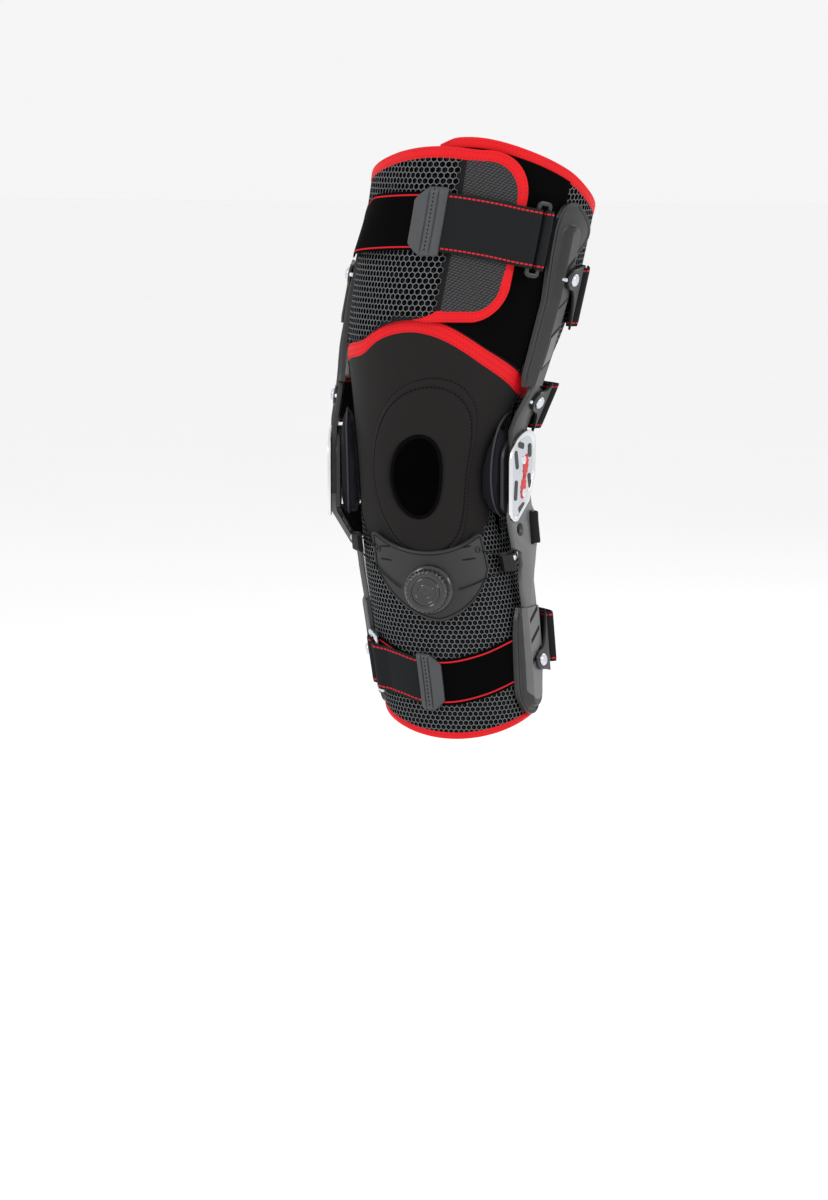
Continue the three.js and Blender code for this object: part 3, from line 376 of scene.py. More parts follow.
def shared_group(outputs: Sequence[str], **inputs: str) -> Callable[[Draw], Callable[[], Tree]]:
    """Turns a drawing into a node group that several finishes use.

    Args:
        outputs: names of its value outputs.
        inputs: kind of each input, by name.

    Returns:
        Decorator of the drawing, which gives a function that returns the group.
    """

    def wrap(draw: Draw) -> Callable[[], Tree]:
        """Wraps one drawing.

        Args:
            draw: draws the nodes and gives the sockets of the outputs in order.

        Returns:
            Function that returns the group.
        """

        @cache
        def group() -> Tree:
            """Draws the group once.

            Returns:
                The group.
            """
            tree = bpy.data.node_groups.new(draw.__name__, "ShaderNodeTree")
            for title, kind in inputs.items():
                tree.interface.new_socket(title, in_out="INPUT", socket_type=f"NodeSocket{kind}")
            for title in outputs:
                tree.interface.new_socket(title, in_out="OUTPUT", socket_type="NodeSocketFloat")
            sketch = Sketch(tree)
            results = draw(sketch, sketch.add("NodeGroupInput"))
            sketch.add("NodeGroupOutput", dict(zip(outputs, results)))
            return tree

        return group

    return wrap


FUZZ_SCALE, SHADE_SCALE = 1400.0, 45.0
GRAIN_SCALE, SMUDGE_SCALE = 1500.0, 70.0
SEAM_INSET, SEAM_HALF, SEAM_PITCH = 2.6, 0.62, 3.4
DOT_PITCH, DOT_SLANT, DOT_SCATTER = 2.5, 28.0, 0.12
DOT_STRETCH = (0.75, 1.45, 1)


@shared_group(["Height"], Vector="Vector", Pitch="Float")
def crossing_threads(sketch: Sketch, start: Node) -> list[Socket]:
    """Woven threads: two rows of waves across each other.

    Args:
        sketch: tree of the group.
        start: its inputs.

    Returns:
        Height from 0 in the gaps to 1 on the threads.
    """
    parts = sketch.parts(start.outputs["Vector"])
    rate = sketch.math("DIVIDE", math.tau, start.outputs["Pitch"])
    waves = [sketch.math("SINE", sketch.math("MULTIPLY", parts[axis], rate)) for axis in (0, 1)]
    return [sketch.math("MULTIPLY_ADD", sketch.math("MULTIPLY", *waves), 0.5, 0.5)]


@shared_group(["Fuzz", "Shade"], Vector="Vector")
def fibre_mottle(sketch: Sketch, start: Node) -> list[Socket]:
    """Loose fibres: a fine fuzz, and a slow change of shade."""
    return [sketch.noise(start.outputs["Vector"], scale, 3.0) for scale in (FUZZ_SCALE, SHADE_SCALE)]


@shared_group(["Grain", "Smudge"], Vector="Vector")
def mould_grain(sketch: Sketch, start: Node) -> list[Socket]:
    """Moulded surface: pits of its fine grain, and slow smudges of wear.

    Args:
        sketch: tree of the group.
        start: its inputs.

    Returns:
        Grain and smudges.
    """
    where = start.outputs["Vector"]
    pits = sketch.add("ShaderNodeTexVoronoi", {"Vector": where, "Scale": GRAIN_SCALE})
    return [pits.outputs["Distance"], sketch.noise(where, SMUDGE_SCALE, 4.0)]


@shared_group(["Mask"], Vector="Vector", Dash="Float")
def edge_stitches(sketch: Sketch, start: Node) -> list[Socket]:
    """Dashed stitch line along a strap, whose map holds way along and distance from the edge.

    Args:
        sketch: tree of the group.
        start: its inputs.

    Returns:
        Mask of the line.
    """
    along, inward, _ = sketch.parts(start.outputs["Vector"])
    line = sketch.math("COMPARE", inward, SEAM_INSET * MM, SEAM_HALF * MM)
    place = sketch.math("FRACT", sketch.math("DIVIDE", along, SEAM_PITCH * MM))
    return [sketch.math("MULTIPLY", line, sketch.math("LESS_THAN", place, start.outputs["Dash"]))]


@shared_group(["Height"], Vector="Vector")
def pressed_dots(sketch: Sketch, start: Node) -> list[Socket]:
    """Evenly set dots, drawn as distances to slanted cells.

    Args:
        sketch: tree of the group.
        start: its inputs.

    Returns:
        Height of the dots.
    """
    turn = (0, 0, math.radians(DOT_SLANT))
    turned = {"Vector": start.outputs["Vector"], "Rotation": turn, "Scale": DOT_STRETCH}
    slant = sketch.add("ShaderNodeMapping", turned).outputs["Vector"]
    cell = {"Vector": slant, "Scale": 1 / (DOT_PITCH * MM), "Randomness": DOT_SCATTER}
    cells = sketch.add("ShaderNodeTexVoronoi", cell, voronoi_dimensions="2D")
    return [sketch.math("SUBTRACT", 1.0, sketch.math("SMOOTH_MIN", 1.0, cells.outputs["Distance"], 0.2))]


class Canvas:
    """New material with its shader, its coordinates and a sketch to draw on."""

    def __init__(self, name: str, coords: Coords) -> None:
        """Makes the material.

        Args:
            name: name of the material.
            coords: coordinates of its patterns.
        """
        self.material = bpy.data.materials.new(name)
        self.material.use_nodes = True
        self.sketch = Sketch(self.material.node_tree)
        self.shader = self.material.node_tree.nodes["Principled BSDF"]
        self.where = self.sketch.add("ShaderNodeTexCoord").outputs[coords.value]

    def effect(self, group: Callable[[], Tree], **values: object) -> Sequence[Socket]:
        """Outputs of a shared group that is laid on the surface."""
        inputs = {"Vector": self.where, **values}
        return self.sketch.add("ShaderNodeGroup", inputs, node_tree=group()).outputs

    def fix(self, **values: object) -> None:
        """Sets constants on the shader's own sockets, with underscores for spaces."""
        for name, value in values.items():
            self.shader.inputs[name.replace("_", " ")].default_value = value

    def link(self, name: str, source: Socket) -> None:
        """Links a socket of the shader."""
        self.sketch.feed(self.shader.inputs[name], source)

    def bump(self, height: Socket, strength: float, distance_mm: float) -> None:
        """Gives the surface relief."""
        relief = {"Strength": strength, "Distance": distance_mm * MM, "Height": height}
        self.link("Normal", self.sketch.add("ShaderNodeBump", relief).outputs["Normal"])


def dimmed(color: Color, share: float) -> Color:
    """Colour with a share of its light."""
    return (color[0] * share, color[1] * share, color[2] * share, 1.0)


@dataclass(frozen=True)
class Finish:
    """Finish of a piece: the name of its material and the slot that it stands for."""

    name: str
    slot: str
    color: Color
    coords: Coords = Coords.UV

    def paint(self, canvas: Canvas, sketch: Sketch) -> None:
        """Draws the finish on a new material."""
        raise NotImplementedError

    def material(self) -> bpy.types.Material:
        """Material of this finish, drawn once.

        Returns:
            The material.
        """
        known = bpy.data.materials.get(self.name)
        if known:
            return known
        canvas = Canvas(self.name, self.coords)
        self.paint(canvas, canvas.sketch)
        return canvas.material


@dataclass(frozen=True)
class Cloth(Finish):
    """Woven or knitted cloth."""

    pitch_mm: float = 1.0
    relief_mm: float = 0.15
    roughness: float = 0.8
    sheen: float = 0.2
    # Share of the colour left in the gaps between threads: painted shade.
    painted_gap_light: float = 0.5
    specular: float = 0.25

    def paint(self, canvas: Canvas, sketch: Sketch) -> None:
        """Draws threads with painted shade in the gaps between them, fuzz and slow changes of tone.

        Args:
            canvas: new material.
            sketch: its nodes.
        """
        threads = canvas.effect(crossing_threads, Pitch=self.pitch_mm * MM)[0]
        fuzz, shade = canvas.effect(fibre_mottle)
        # The colour is dimmed in the gaps between threads as painted shade, times random tone from the
        # mottle.
        gap_shade_and_tone = sketch.math("MULTIPLY", sketch.ranged(threads, 0.25, 1.0), sketch.ranged(shade, 0.5, 1.3))
        canvas.link("Base Color", sketch.blend(gap_shade_and_tone, dimmed(self.color, self.painted_gap_light), self.color))
        canvas.link("Roughness", sketch.ranged(fuzz, self.roughness - 0.08, self.roughness + 0.1))
        canvas.bump(sketch.math("MULTIPLY_ADD", fuzz, 0.5, threads), 0.5, self.relief_mm)
        canvas.fix(Sheen_Weight=self.sheen, Sheen_Roughness=0.4, Specular_IOR_Level=self.specular)


@dataclass(frozen=True)
class Velour(Finish):
    """Brushed loop cloth with a soft pile."""

    def paint(self, canvas: Canvas, sketch: Sketch) -> None:
        """Draws a fuzzy pile with brushed patches.

        Args:
            canvas: new material.
            sketch: its nodes.
        """
        fuzz, shade = canvas.effect(fibre_mottle)
        brushed = sketch.math("MULTIPLY", fuzz, sketch.ranged(shade, 0.5, 1.5))
        canvas.link("Base Color", sketch.blend(brushed, dimmed(self.color, 0.4), self.color))
        canvas.link("Roughness", sketch.ranged(fuzz, 0.85, 1.0))
        canvas.bump(fuzz, 0.6, 0.4)
        canvas.fix(Specular_IOR_Level=0.03)


@dataclass(frozen=True)
class LinedWebbing(Finish):
    """Webbing with a dashed stitch line of another colour along each edge."""

    line: Color = (0.62, 0.02, 0.03, 1.0)
    pitch_mm: float = 1.1
    dash: float = 0.74
    specular: float = 0.2

    def paint(self, canvas: Canvas, sketch: Sketch) -> None:
        """Draws ribs with painted shade between them, fuzz and the stitch lines.

        Args:
            canvas: new material.
            sketch: its nodes.
        """
        threads = canvas.effect(crossing_threads, Pitch=self.pitch_mm * MM)[0]
        fuzz = canvas.effect(fibre_mottle)["Fuzz"]
        mask = canvas.effect(edge_stitches, Dash=self.dash)[0]
        # The colour is dimmed between the ribs as painted shade, times random tone from the fuzz.
        gap_shade_and_tone = sketch.math("MULTIPLY", sketch.ranged(threads, 0.4, 1.0), sketch.ranged(fuzz, 0.4, 1.4))
        ground = sketch.blend(gap_shade_and_tone, dimmed(self.color, 0.35), self.color)
        canvas.link("Base Color", sketch.blend(mask, ground, self.line))
        canvas.link("Roughness", sketch.ranged(fuzz, 0.75, 0.95))
        ribs = sketch.math("MULTIPLY_ADD", fuzz, 0.9, threads)
        canvas.bump(sketch.math("ADD", ribs, mask), 0.6, 0.25)
        canvas.fix(Specular_IOR_Level=self.specular)


@dataclass(frozen=True)
class PressedCloth(Finish):
    """Cloth with a pressed pattern of pale dots."""

    dot: Color = (0.11, 0.11, 0.115, 1.0)

    def paint(self, canvas: Canvas, sketch: Sketch) -> None:
        """Draws the dots in relief.

        Args:
            canvas: new material.
            sketch: its nodes.
        """
        dots = canvas.effect(pressed_dots)[0]
        fuzz = canvas.effect(fibre_mottle)["Fuzz"]
        share = sketch.math("MULTIPLY", sketch.math("POWER", dots, 3.0), sketch.ranged(fuzz, 0.5, 1.4))
        canvas.link("Base Color", sketch.blend(share, self.color, self.dot))
        canvas.link("Roughness", sketch.ranged(fuzz, 0.6, 0.85))
        canvas.bump(dots, 0.6, 0.4)
        canvas.fix(Specular_IOR_Level=0.25)


@dataclass(frozen=True)
class Moulded(Finish):
    """Moulded plastic or rubber with a fine grain."""

    coords: Coords = Coords.OBJECT
    roughness: float = 0.45
    grain: float = 0.25
    coat: float = 0.0
    specular: float = 0.5

    def paint(self, canvas: Canvas, sketch: Sketch) -> None:
        """Draws grain and smudges.

        Args:
            canvas: new material.
            sketch: its nodes.
        """
        grain, smudge = canvas.effect(mould_grain)
        canvas.link("Base Color", sketch.blend(smudge, dimmed(self.color, 0.8), dimmed(self.color, 1.2)))
        canvas.link("Roughness", sketch.ranged(smudge, self.roughness - 0.1, self.roughness + 0.12))
        canvas.bump(grain, self.grain, 0.15)
        canvas.fix(Coat_Weight=self.coat, Coat_Roughness=0.12, Specular_IOR_Level=self.specular)


@dataclass(frozen=True)
class Metal(Finish):
    """Metal with fine scratches."""

    coords: Coords = Coords.OBJECT
    roughness: float = 0.25

    def paint(self, canvas: Canvas, sketch: Sketch) -> None:
        """Draws scratches and smudges.

        Args:
            canvas: new material.
            sketch: its nodes.
        """
        grain, smudge = canvas.effect(mould_grain)
        canvas.link("Base Color", sketch.blend(smudge, dimmed(self.color, 0.85), self.color))
        canvas.link("Roughness", sketch.ranged(smudge, self.roughness - 0.08, self.roughness + 0.12))
        canvas.bump(grain, 0.05, 0.05)
        canvas.fix(Metallic=1.0)


UV, OBJECT = Coords.UV, Coords.OBJECT
# The ninth value of each cloth is its painted_gap_light: the share of its colour left in the gaps between
# threads, as painted shade.
THREAD = Cloth("net_thread", "mesh", (0.165, 0.17, 0.18, 1), OBJECT, 0.7, 0.08, 0.6, 0.0, 0.55)
CALF_THREAD = Cloth("calf_net_thread", "mesh", (0.15, 0.16, 0.168, 1), OBJECT, 0.7, 0.08, 0.6, 0.0, 0.55)
CORE = Cloth("spacer_core", "mesh", (0.002, 0.002, 0.0022, 1), OBJECT, 1.2, 0.2, 0.85, 0.0, 0.6, 0.03)
LINING = Cloth("lining", "mesh", (0.008, 0.008, 0.009, 1), UV, 1.3, 0.2, 0.85, 0.03, 0.55)
PRESSED = PressedCloth("pressed_mesh", "mesh", (0.008, 0.008, 0.009, 1))
RED_TAPE = Cloth("red_tape", "red", (0.82, 0.004, 0.01, 1), UV, 1.0, 0.12, 0.62, 0.0, 0.72)
RED_THREAD = Cloth("red_thread", "red", (0.5, 0.003, 0.008, 1), OBJECT, 0.5, 0.05, 0.6, 0.0, 0.7)
VELOUR = Velour("loop_velour", "velour", (0.003, 0.003, 0.003, 1))
JERSEY = Cloth("neoprene_jersey", "neoprene", (0.0105, 0.009, 0.0085, 1), UV, 0.9, 0.1, 0.8, 0.06, 0.6)
DARK_THREAD = Cloth(
    "dark_thread", "neoprene", (0.002, 0.002, 0.002, 1), OBJECT, 0.5, 0.05, 0.7, 0.0, 0.6, 0.04
)
STRAP_CLOTH = LinedWebbing("strap_cloth", "webbing", (0.012, 0.0132, 0.0145, 1))
STRAP_LOOP = LinedWebbing("strap_loop", "webbing", (0.0022, 0.0022, 0.0022, 1), dash=1.1, specular=0.03)
PLAIN_STRAP = Cloth("plain_strap", "webbing", (0.009, 0.009, 0.0095, 1), UV, 1.1, 0.2, 0.8, 0.04, 0.5)
PAD_CLOTH = Cloth("pad_cloth", "pad", (0.004, 0.0045, 0.010, 1), OBJECT, 1.0, 0.12, 0.8, 0.08, 0.5)
PIPING = Cloth("pad_piping", "pad", (0.05, 0.05, 0.055, 1), OBJECT, 0.8, 0.08, 0.6, 0.0, 0.6)
RUBBER = Moulded("grip_rubber", "rubber", (0.050, 0.053, 0.058, 1), roughness=0.5, grain=0.2)
SHELL_PLASTIC = Moulded("shell_plastic", "plastic", (0.02, 0.0205, 0.022, 1), roughness=0.32, grain=0.2)
DARK_PLASTIC = Moulded("dark_plastic", "plastic", (0.010, 0.010, 0.011, 1), roughness=0.38, grain=0.15)
GUIDE_BLACK = Moulded(
    "guide_black", "plastic", (0.004, 0.004, 0.0045, 1), roughness=0.4, grain=0.1, specular=0.35
)
# Black that paints the shade in the shells' slots, the plate's slits and the shell groove; on the plate's
# sewn line it is the thread's own colour.
SLOT_BLACK = Moulded(
    "slot_black", "plastic", (0.003, 0.003, 0.003, 1), roughness=0.6, grain=0.1, specular=0.2
)
BAR_METAL = Moulded("bar_metal", "bar", (0.11, 0.112, 0.11, 1), roughness=0.34, grain=0.1, coat=0.15)
SILVER = Metal("polished_silver", "silver", (0.86, 0.87, 0.89, 1), roughness=0.2)
STEEL = Metal("bright_steel", "steel", (0.72, 0.75, 0.80, 1), roughness=0.24)
RED_PLASTIC = Moulded("red_plastic", "silver", (0.6, 0.01, 0.015, 1), roughness=0.35, grain=0.1)
PLATE_PLASTIC = Moulded("plate_plastic", "plate", (0.0145, 0.0148, 0.0158, 1), roughness=0.46, grain=0.35)
DIAL_PLASTIC = Moulded(
    "dial_plastic", "dial", (0.009, 0.0095, 0.011, 1), roughness=0.17, grain=0.03, coat=0.6
)
LACE_CORD = Cloth("lace_cord", "lace", (0.006, 0.006, 0.006, 1), OBJECT, 0.5, 0.05, 0.5, 0.0, 0.6)


def slab(
    columns: Sequence[float],
    rows: Sequence[float],
    place: Place,
    levels: Flat = (1.0, 0.0),
    ring: bool = False,
    uv: UvMap | None = None,
) -> BMesh:
    """Closed wall between an outer and an inner face.

    Args:
        columns: places along the wall.
        rows: places across it.
        place: point for a column, a row and a level.
        levels: level of the outer and of the inner face.
        ring: whether the last column is the first one again.
        uv: map of the cloth in metres, for a column and a row.

    Returns:
        Mesh of the wall, whose vertices keep their column and row.
    """
    bm = bmesh.new()
    bmesh.ops.create_grid(bm, x_segments=len(columns) - 1, y_segments=len(rows) - 1, size=1.0)
    column_of = bm.verts.layers.int.new("column")
    row_of = bm.verts.layers.int.new("row")
    for index, vert in enumerate(bm.verts):
        vert[row_of], vert[column_of] = divmod(index, len(columns))
        vert.co = place(columns[vert[column_of]], rows[vert[row_of]], levels[0])
    if uv:
        layer = bm.loops.layers.uv.new("UVMap")
        for face in bm.faces:
            for loop in face.loops:
                loop[layer].uv = uv(columns[loop.vert[column_of]], rows[loop.vert[row_of]])
    if ring:
        bmesh.ops.remove_doubles(bm, verts=bm.verts[:], dist=1e-6)
    for vert in thickened(bm):
        vert.co = place(columns[vert[column_of]], rows[vert[row_of]], levels[1])
    bmesh.ops.recalc_face_normals(bm, faces=bm.faces[:])
    return bm


def thickened(bm: BMesh) -> list[BMVert]:
    """Vertices of a second face, extruded from an open one."""
    grown = bmesh.ops.extrude_face_region(bm, geom=bm.faces[:], use_keep_orig=True)["geom"]
    return [part for part in grown if isinstance(part, BMVert)]


def tube(
    stations: int,
    sides: int,
    point: Callable[[int, int], Vector],
    ring: bool = False,
    uv: Callable[[int, int], Flat] | None = None,
) -> BMesh:
    """Closed skin of a section that is carried along stations.

    Args:
        stations: number of stations.
        sides: number of points round the section.
        point: point of a station and a side.
        ring: whether the last station joins the first one.
        uv: map of the cloth in metres, for a station and a side.

    Returns:
        Mesh of the skin, with its ends filled.
    """
    bm = bmesh.new()
    spans = stations if ring else stations - 1
    bmesh.ops.create_grid(bm, x_segments=spans, y_segments=sides, size=1.0)
    if uv:
        layer = bm.loops.layers.uv.new("UVMap")
        bm.verts.index_update()
        for face in bm.faces:
            for loop in face.loops:
                loop[layer].uv = uv(loop.vert.index % (spans + 1), loop.vert.index // (spans + 1))
    for index, vert in enumerate(bm.verts):
        vert.co = point(index % (spans + 1) % stations, index // (spans + 1) % sides)
    bmesh.ops.remove_doubles(bm, verts=bm.verts[:], dist=1e-7)
    if not ring:
        ends = [edge for edge in bm.edges if edge.is_boundary]
        bmesh.ops.holes_fill(bm, edges=ends, sides=0)
    bmesh.ops.recalc_face_normals(bm, faces=bm.faces[:])
    return bm


def rope(points: Sequence[Vector], radius_mm: float, sides: int = 8, ring: bool = False) -> BMesh:
    """Round tube along points.

    Args:
        points: middle line in metres.
        radius_mm: radius in millimetres.
        sides: points round it.
        ring: whether the line is closed.

    Returns:
        Mesh of the tube.
    """
    count = len(points)
    radius = radius_mm * MM
    frames = []
    side = None
    for index, here in enumerate(points):
        before = points[index - 1] if ring or index else here
        after = points[(index + 1) % count] if ring or index < count - 1 else here
        along = (after - before).normalized()
        side = along.orthogonal() if side is None else side - along * side.dot(along)
        side.normalize()
        frames.append((here, side.copy(), along.cross(side)))

    def point(station: int, turn: int) -> Vector:
        """Point of the tube's skin."""
        (here, across, up), way = frames[station], math.tau * turn / sides
        return here + across * (radius * math.cos(way)) + up * (radius * math.sin(way))

    return tube(count, sides, point, ring)


def lathe(profile: Table, matrix: Matrix, steps: int = 40) -> BMesh:
    """Turned solid of a profile of radius and height, in millimetres.

    Args:
        profile: points from one pole to the other.
        matrix: place of the axis.
        steps: steps of the full turn.

    Returns:
        Mesh of the solid.
    """
    bm = bmesh.new()
    verts = [bm.verts.new((radius, 0.0, height)) for radius, height in profile]
    edges = [bm.edges.new(pair) for pair in zip(verts, verts[1:])]
    axis = {"axis": (0, 0, 1), "cent": (0, 0, 0), "dvec": (0, 0, 0)}
    turn = {"angle": math.tau, "steps": steps, "use_merge": True, "use_duplicate": False}
    bmesh.ops.spin(bm, geom=verts + edges, **axis, **turn)
    bmesh.ops.remove_doubles(bm, verts=bm.verts[:], dist=1e-4)
    bmesh.ops.transform(bm, matrix=matrix, verts=bm.verts[:])
    bmesh.ops.recalc_face_normals(bm, faces=bm.faces[:])
    return bm


def outline_face(points: Sequence[Flat], height: float) -> BMesh:
    """Flat face of an outline in the XY plane.

    Args:
        points: outline in millimetres.
        height: height of the face.

    Returns:
        Mesh in millimetres.
    """
    bm = bmesh.new()
    bmesh.ops.create_circle(bm, cap_ends=True, segments=len(points), radius=1.0)
    for vert, (x, y) in zip(bm.verts, points):
        vert.co = (x, y, height)
    return bm


def raise_plate(bm: BMesh, thick: float) -> BMFace:
    """Gives flat faces a thickness.

    Args:
        bm: mesh of the faces in the XY plane.
        thick: thickness upwards.

    Returns:
        Highest face.
    """
    bmesh.ops.translate(bm, vec=(0, 0, thick), verts=thickened(bm))
    bmesh.ops.recalc_face_normals(bm, faces=bm.faces[:])
    return max(bm.faces, key=lambda face: face.calc_center_median().z)


def outline_plate(points: Sequence[Flat], low: float, high: float) -> BMesh:
    """Flat plate of an outline in the XY plane.

    Args:
        points: outline in millimetres.
        low: height of its lower face.
        high: height of its upper face.

    Returns:
        Mesh in millimetres.
    """
    bm = outline_face(points, low)
    raise_plate(bm, high - low)
    return bm


def soften(bm: BMesh, width: float, angle: float = 35.0) -> BMesh:
    """Rounds the sharp edges of a mesh.

    Args:
        bm: mesh, which is changed.
        width: width of the rounding in the mesh's own units.
        angle: angle from which an edge is sharp.

    Returns:
        The same mesh.
    """
    bm.normal_update()
    limit = math.radians(angle)
    sharp = [edge for edge in bm.edges if edge.is_manifold and edge.calc_face_angle(0.0) > limit]
    bmesh.ops.bevel(
        bm, geom=sharp, offset=width, offset_type="OFFSET", affect="EDGES", segments=2, profile=0.5,
        clamp_overlap=True, material=-1,
    )
    return bm


def joined(*meshes: BMesh) -> BMesh:
    """One mesh of several, which are used up.

    Args:
        meshes: meshes to join.

    Returns:
        The first mesh, with the others in it.
    """
    whole = meshes[0]
    for part in meshes[1:]:
        holder = bpy.data.meshes.new("joining")
        part.to_mesh(holder)
        part.free()
        whole.from_mesh(holder)
        bpy.data.meshes.remove(holder)
    return whole


def make_piece(
    name: str,
    bm: BMesh,
    finishes: Finish | Sequence[Finish],
    replaces: str = "",
    body: str = "brace",
    crease: float = 40.0,
) -> Piece:
    """Object of a mesh, dressed and set on its body.

    Args:
        name: name of the piece.
        bm: mesh, which is used up.
        finishes: finish, or one for each material index.
        replaces: solid that the piece stands for.
        body: body that it rides on.
        crease: angle from which an edge stays sharp.

    Returns:
        The object.
    """
    dress = [finishes] if isinstance(finishes, Finish) else list(finishes)
    mesh = bpy.data.meshes.new(name)
    bm.to_mesh(mesh)
    bm.free()
    for finish in dress:
        mesh.materials.append(finish.material())
    mesh.polygons.foreach_set("use_smooth", [True] * len(mesh.polygons))
    mesh.set_sharp_from_angle(angle=math.radians(crease))
    piece = bpy.data.objects.new(name, mesh)
    bpy.context.scene.collection.objects.link(piece)
    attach(piece, body)
    if replaces:
        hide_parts(replaces)
    LOG.info("%s: %d faces", name, len(mesh.polygons))
    return piece


def stitch_row(line: Sequence[Spot], pitch_mm: float, thick_mm: float) -> BMesh:
    """Row of stitches along a line on the limb.

    Args:
        line: angle, height and depth along the seam, closely spaced.
        pitch_mm: length of one stitch with its gap.
        thick_mm: thickness of the thread.

    Returns:
        Mesh of the stitches.
    """
    bm = bmesh.new()
    points = [LEG.place(*spot) for spot in line]
    size = Matrix.Diagonal((0.36 * pitch_mm * MM, thick_mm * MM, thick_mm * MM * 0.7, 1.0))
    since = 0.0
    for index in range(1, len(points)):
        step = points[index] - points[index - 1]
        since += step.length
        if since < pitch_mm * MM:
            continue
        since = 0.0
        angle, z, depth = line[index]
        up = (LEG.place(angle, z, depth + 1) - points[index]).normalized()
        along = (step - up * step.dot(up)).normalized()
        axes = Matrix((along, up.cross(along), up)).transposed().to_4x4()
        matrix = Matrix.Translation(points[index]) @ axes @ size
        bmesh.ops.create_icosphere(bm, subdivisions=1, radius=1.0, matrix=matrix)
    return bm


def band(edges: Sequence[tuple[Spot, Spot]], thick: float, ring: bool = False, sides: int = 16) -> BMesh:
    """Soft flat tape between two lines on the limb.

    Args:
        edges: pairs of opposite places, on the inner face.
        thick: thickness of the tape.
        ring: whether it closes round the limb.
        sides: points round its section.

    Returns:
        Mesh of the tape, mapped in metres.
    """
    turns = [math.tau * side / sides for side in range(sides)]
    across = [0.5 + 0.5 * signed_power(math.cos(turn), 0.5) for turn in turns]
    lifts = [thick * (0.5 + 0.5 * signed_power(math.sin(turn), 0.55)) for turn in turns]
    lengths = [0.0]
    for pair, following in zip(edges, edges[1:]):
        lengths.append(lengths[-1] + (LEG.place(*following[0]) - LEG.place(*pair[0])).length)
    lengths.append(2 * lengths[-1] - lengths[-2])
    wide = (LEG.place(*edges[0][0]) - LEG.place(*edges[0][1])).length

    def point(station: int, side: int) -> Vector:
        """Point of the tape's skin."""
        angle, z, depth = mix_spots(*edges[station], across[side])
        return LEG.place(angle, z, depth + lifts[side])

    uv: UvMap = lambda station, side: (lengths[station], wide * across[side % sides])
    return tube(len(edges), sides, point, ring, uv)


@dataclass(frozen=True)
class NetWeave:
    """Honeycomb face of a spacer mesh."""

    pitch: float
    thread: float
    slope: float
    relief: float

    def sheet(
        self,
        angles: Flat,
        heights: Flat,
        arc: float,
        shows: Callable[[float, float], bool],
        depth: Callable[[float], float],
    ) -> BMesh:
        """Honeycomb of threads with a dark cell between them.

        Args:
            angles: first and last angle.
            heights: lowest and highest place.
            arc: millimetres for a degree.
            shows: whether a cell at an angle and a height is kept.
            depth: depth of the cells' floor at an angle.

        Returns:
            Mesh with the threads as its first material and the cells as its second.
        """
        half = self.pitch / 2
        radius = self.pitch / math.sqrt(3)
        columns = math.ceil((angles[1] - angles[0]) * arc / half)
        rows = math.ceil((heights[1] - heights[0]) / (1.5 * radius))
        bm = bmesh.new()
        bmesh.ops.create_grid(bm, x_segments=columns, y_segments=rows, size=1.0)
        bm.verts.index_update()
        wide = columns + 1
        for index, vert in enumerate(bm.verts):
            row, column = divmod(index, wide)
            zigzag = 0.25 if (column + row) % 2 == 0 else -0.25
            vert.co = (angles[0] * arc + column * half, heights[0] + radius * (1.5 * row + zigzag), 0)
        spare = []
        for edge in bm.edges:
            low, high = sorted(vert.index for vert in edge.verts)
            row, column = divmod(low, wide)
            if high - low == wide and (column + row) % 2 and 0 < column < columns:
                spare.append(edge)
        bmesh.ops.dissolve_edges(bm, edges=spare, use_verts=False, use_face_split=False)
        outside = []
        for face in bm.faces:
            middle = face.calc_center_median()
            if len(face.verts) != 6 or not shows(middle.x / arc, middle.y):
                outside.append(face)
        bmesh.ops.delete(bm, geom=outside, context="FACES")
        bmesh.ops.inset_individual(bm, faces=bm.faces[:], thickness=self.thread / 2, use_even_offset=True)
        cells = [face for face in bm.faces if len(face.verts) == 6]
        walls = bmesh.ops.inset_individual(
            bm, faces=cells, thickness=self.slope, depth=-self.relief, use_even_offset=True
        )["faces"]
        for face in cells + walls:
            face.material_index = 1
        for vert in bm.verts:
            angle = vert.co.x / arc
            vert.co = LEG.place(angle, vert.co.y, depth(angle) + self.relief + vert.co.z)
        bmesh.ops.recalc_face_normals(bm, faces=bm.faces[:])
        outward = sum(face.normal.xy.dot(face.calc_center_median().xy) for face in bm.faces[:60])
        if outward < 0:
            bmesh.ops.reverse_faces(bm, faces=bm.faces[:])
        return bm


TAPE_STITCH = (2.6, 0.42)
BINDING_STITCH = (2.6, 0.4)
BOLD_STITCH = (3.0, 0.55)


@dataclass(frozen=True)
class KneeTape:
    """Red seam tape that runs round the limb between thigh and knee."""

    width: float = 12.5
    thick: float = 3.4
    middle: Table = (
        (-75, 93.5), (-64, 97), (-44, 102), (-32, 113), (-21, 119), (-10, 121), (0, 118.8), (10, 113.5),
        (20, 106), (33, 95.5), (56, 80), (75, 68.5), (105, 60), (180, 57), (250, 70), (285, 93.5),
    )
    stitch_lines: tuple[float, ...] = (-4.2, 0.0, 4.2)

    def at(self, angle: float, share: float) -> float:
        """Height of the tape at an angle, for a share from its bottom (-0.5) to its top (0.5)."""
        turn = (angle + 75) % 360 - 75
        return smooth_value(self.middle, turn) + share * self.width

    def build(self) -> None:
        """Makes the tape and its rows of stitches."""
        turns = spread(-180, 180, 180)[:-1]
        edges = [((turn, self.at(turn, -0.5), 0), (turn, self.at(turn, 0.5), 0)) for turn in turns]
        make_piece("knee_tape_soft", band(edges, self.thick, ring=True), RED_TAPE, "knee_tape")
        rows = []
        for line in self.stitch_lines:
            fine = spread(-180, 180, 900)
            path = [(turn, self.at(turn, line / self.width), self.thick - 0.05) for turn in fine]
            rows.append(stitch_row(path, *TAPE_STITCH))
        make_piece("knee_tape_stitches", joined(*rows), RED_THREAD)


TAPE = KneeTape()


def rounded_drop(share: float, height: float) -> float:
    """Fall of a rounded corner, for a share of its length."""
    return height * (1 - math.sqrt(1 - clamp(share) ** 2))


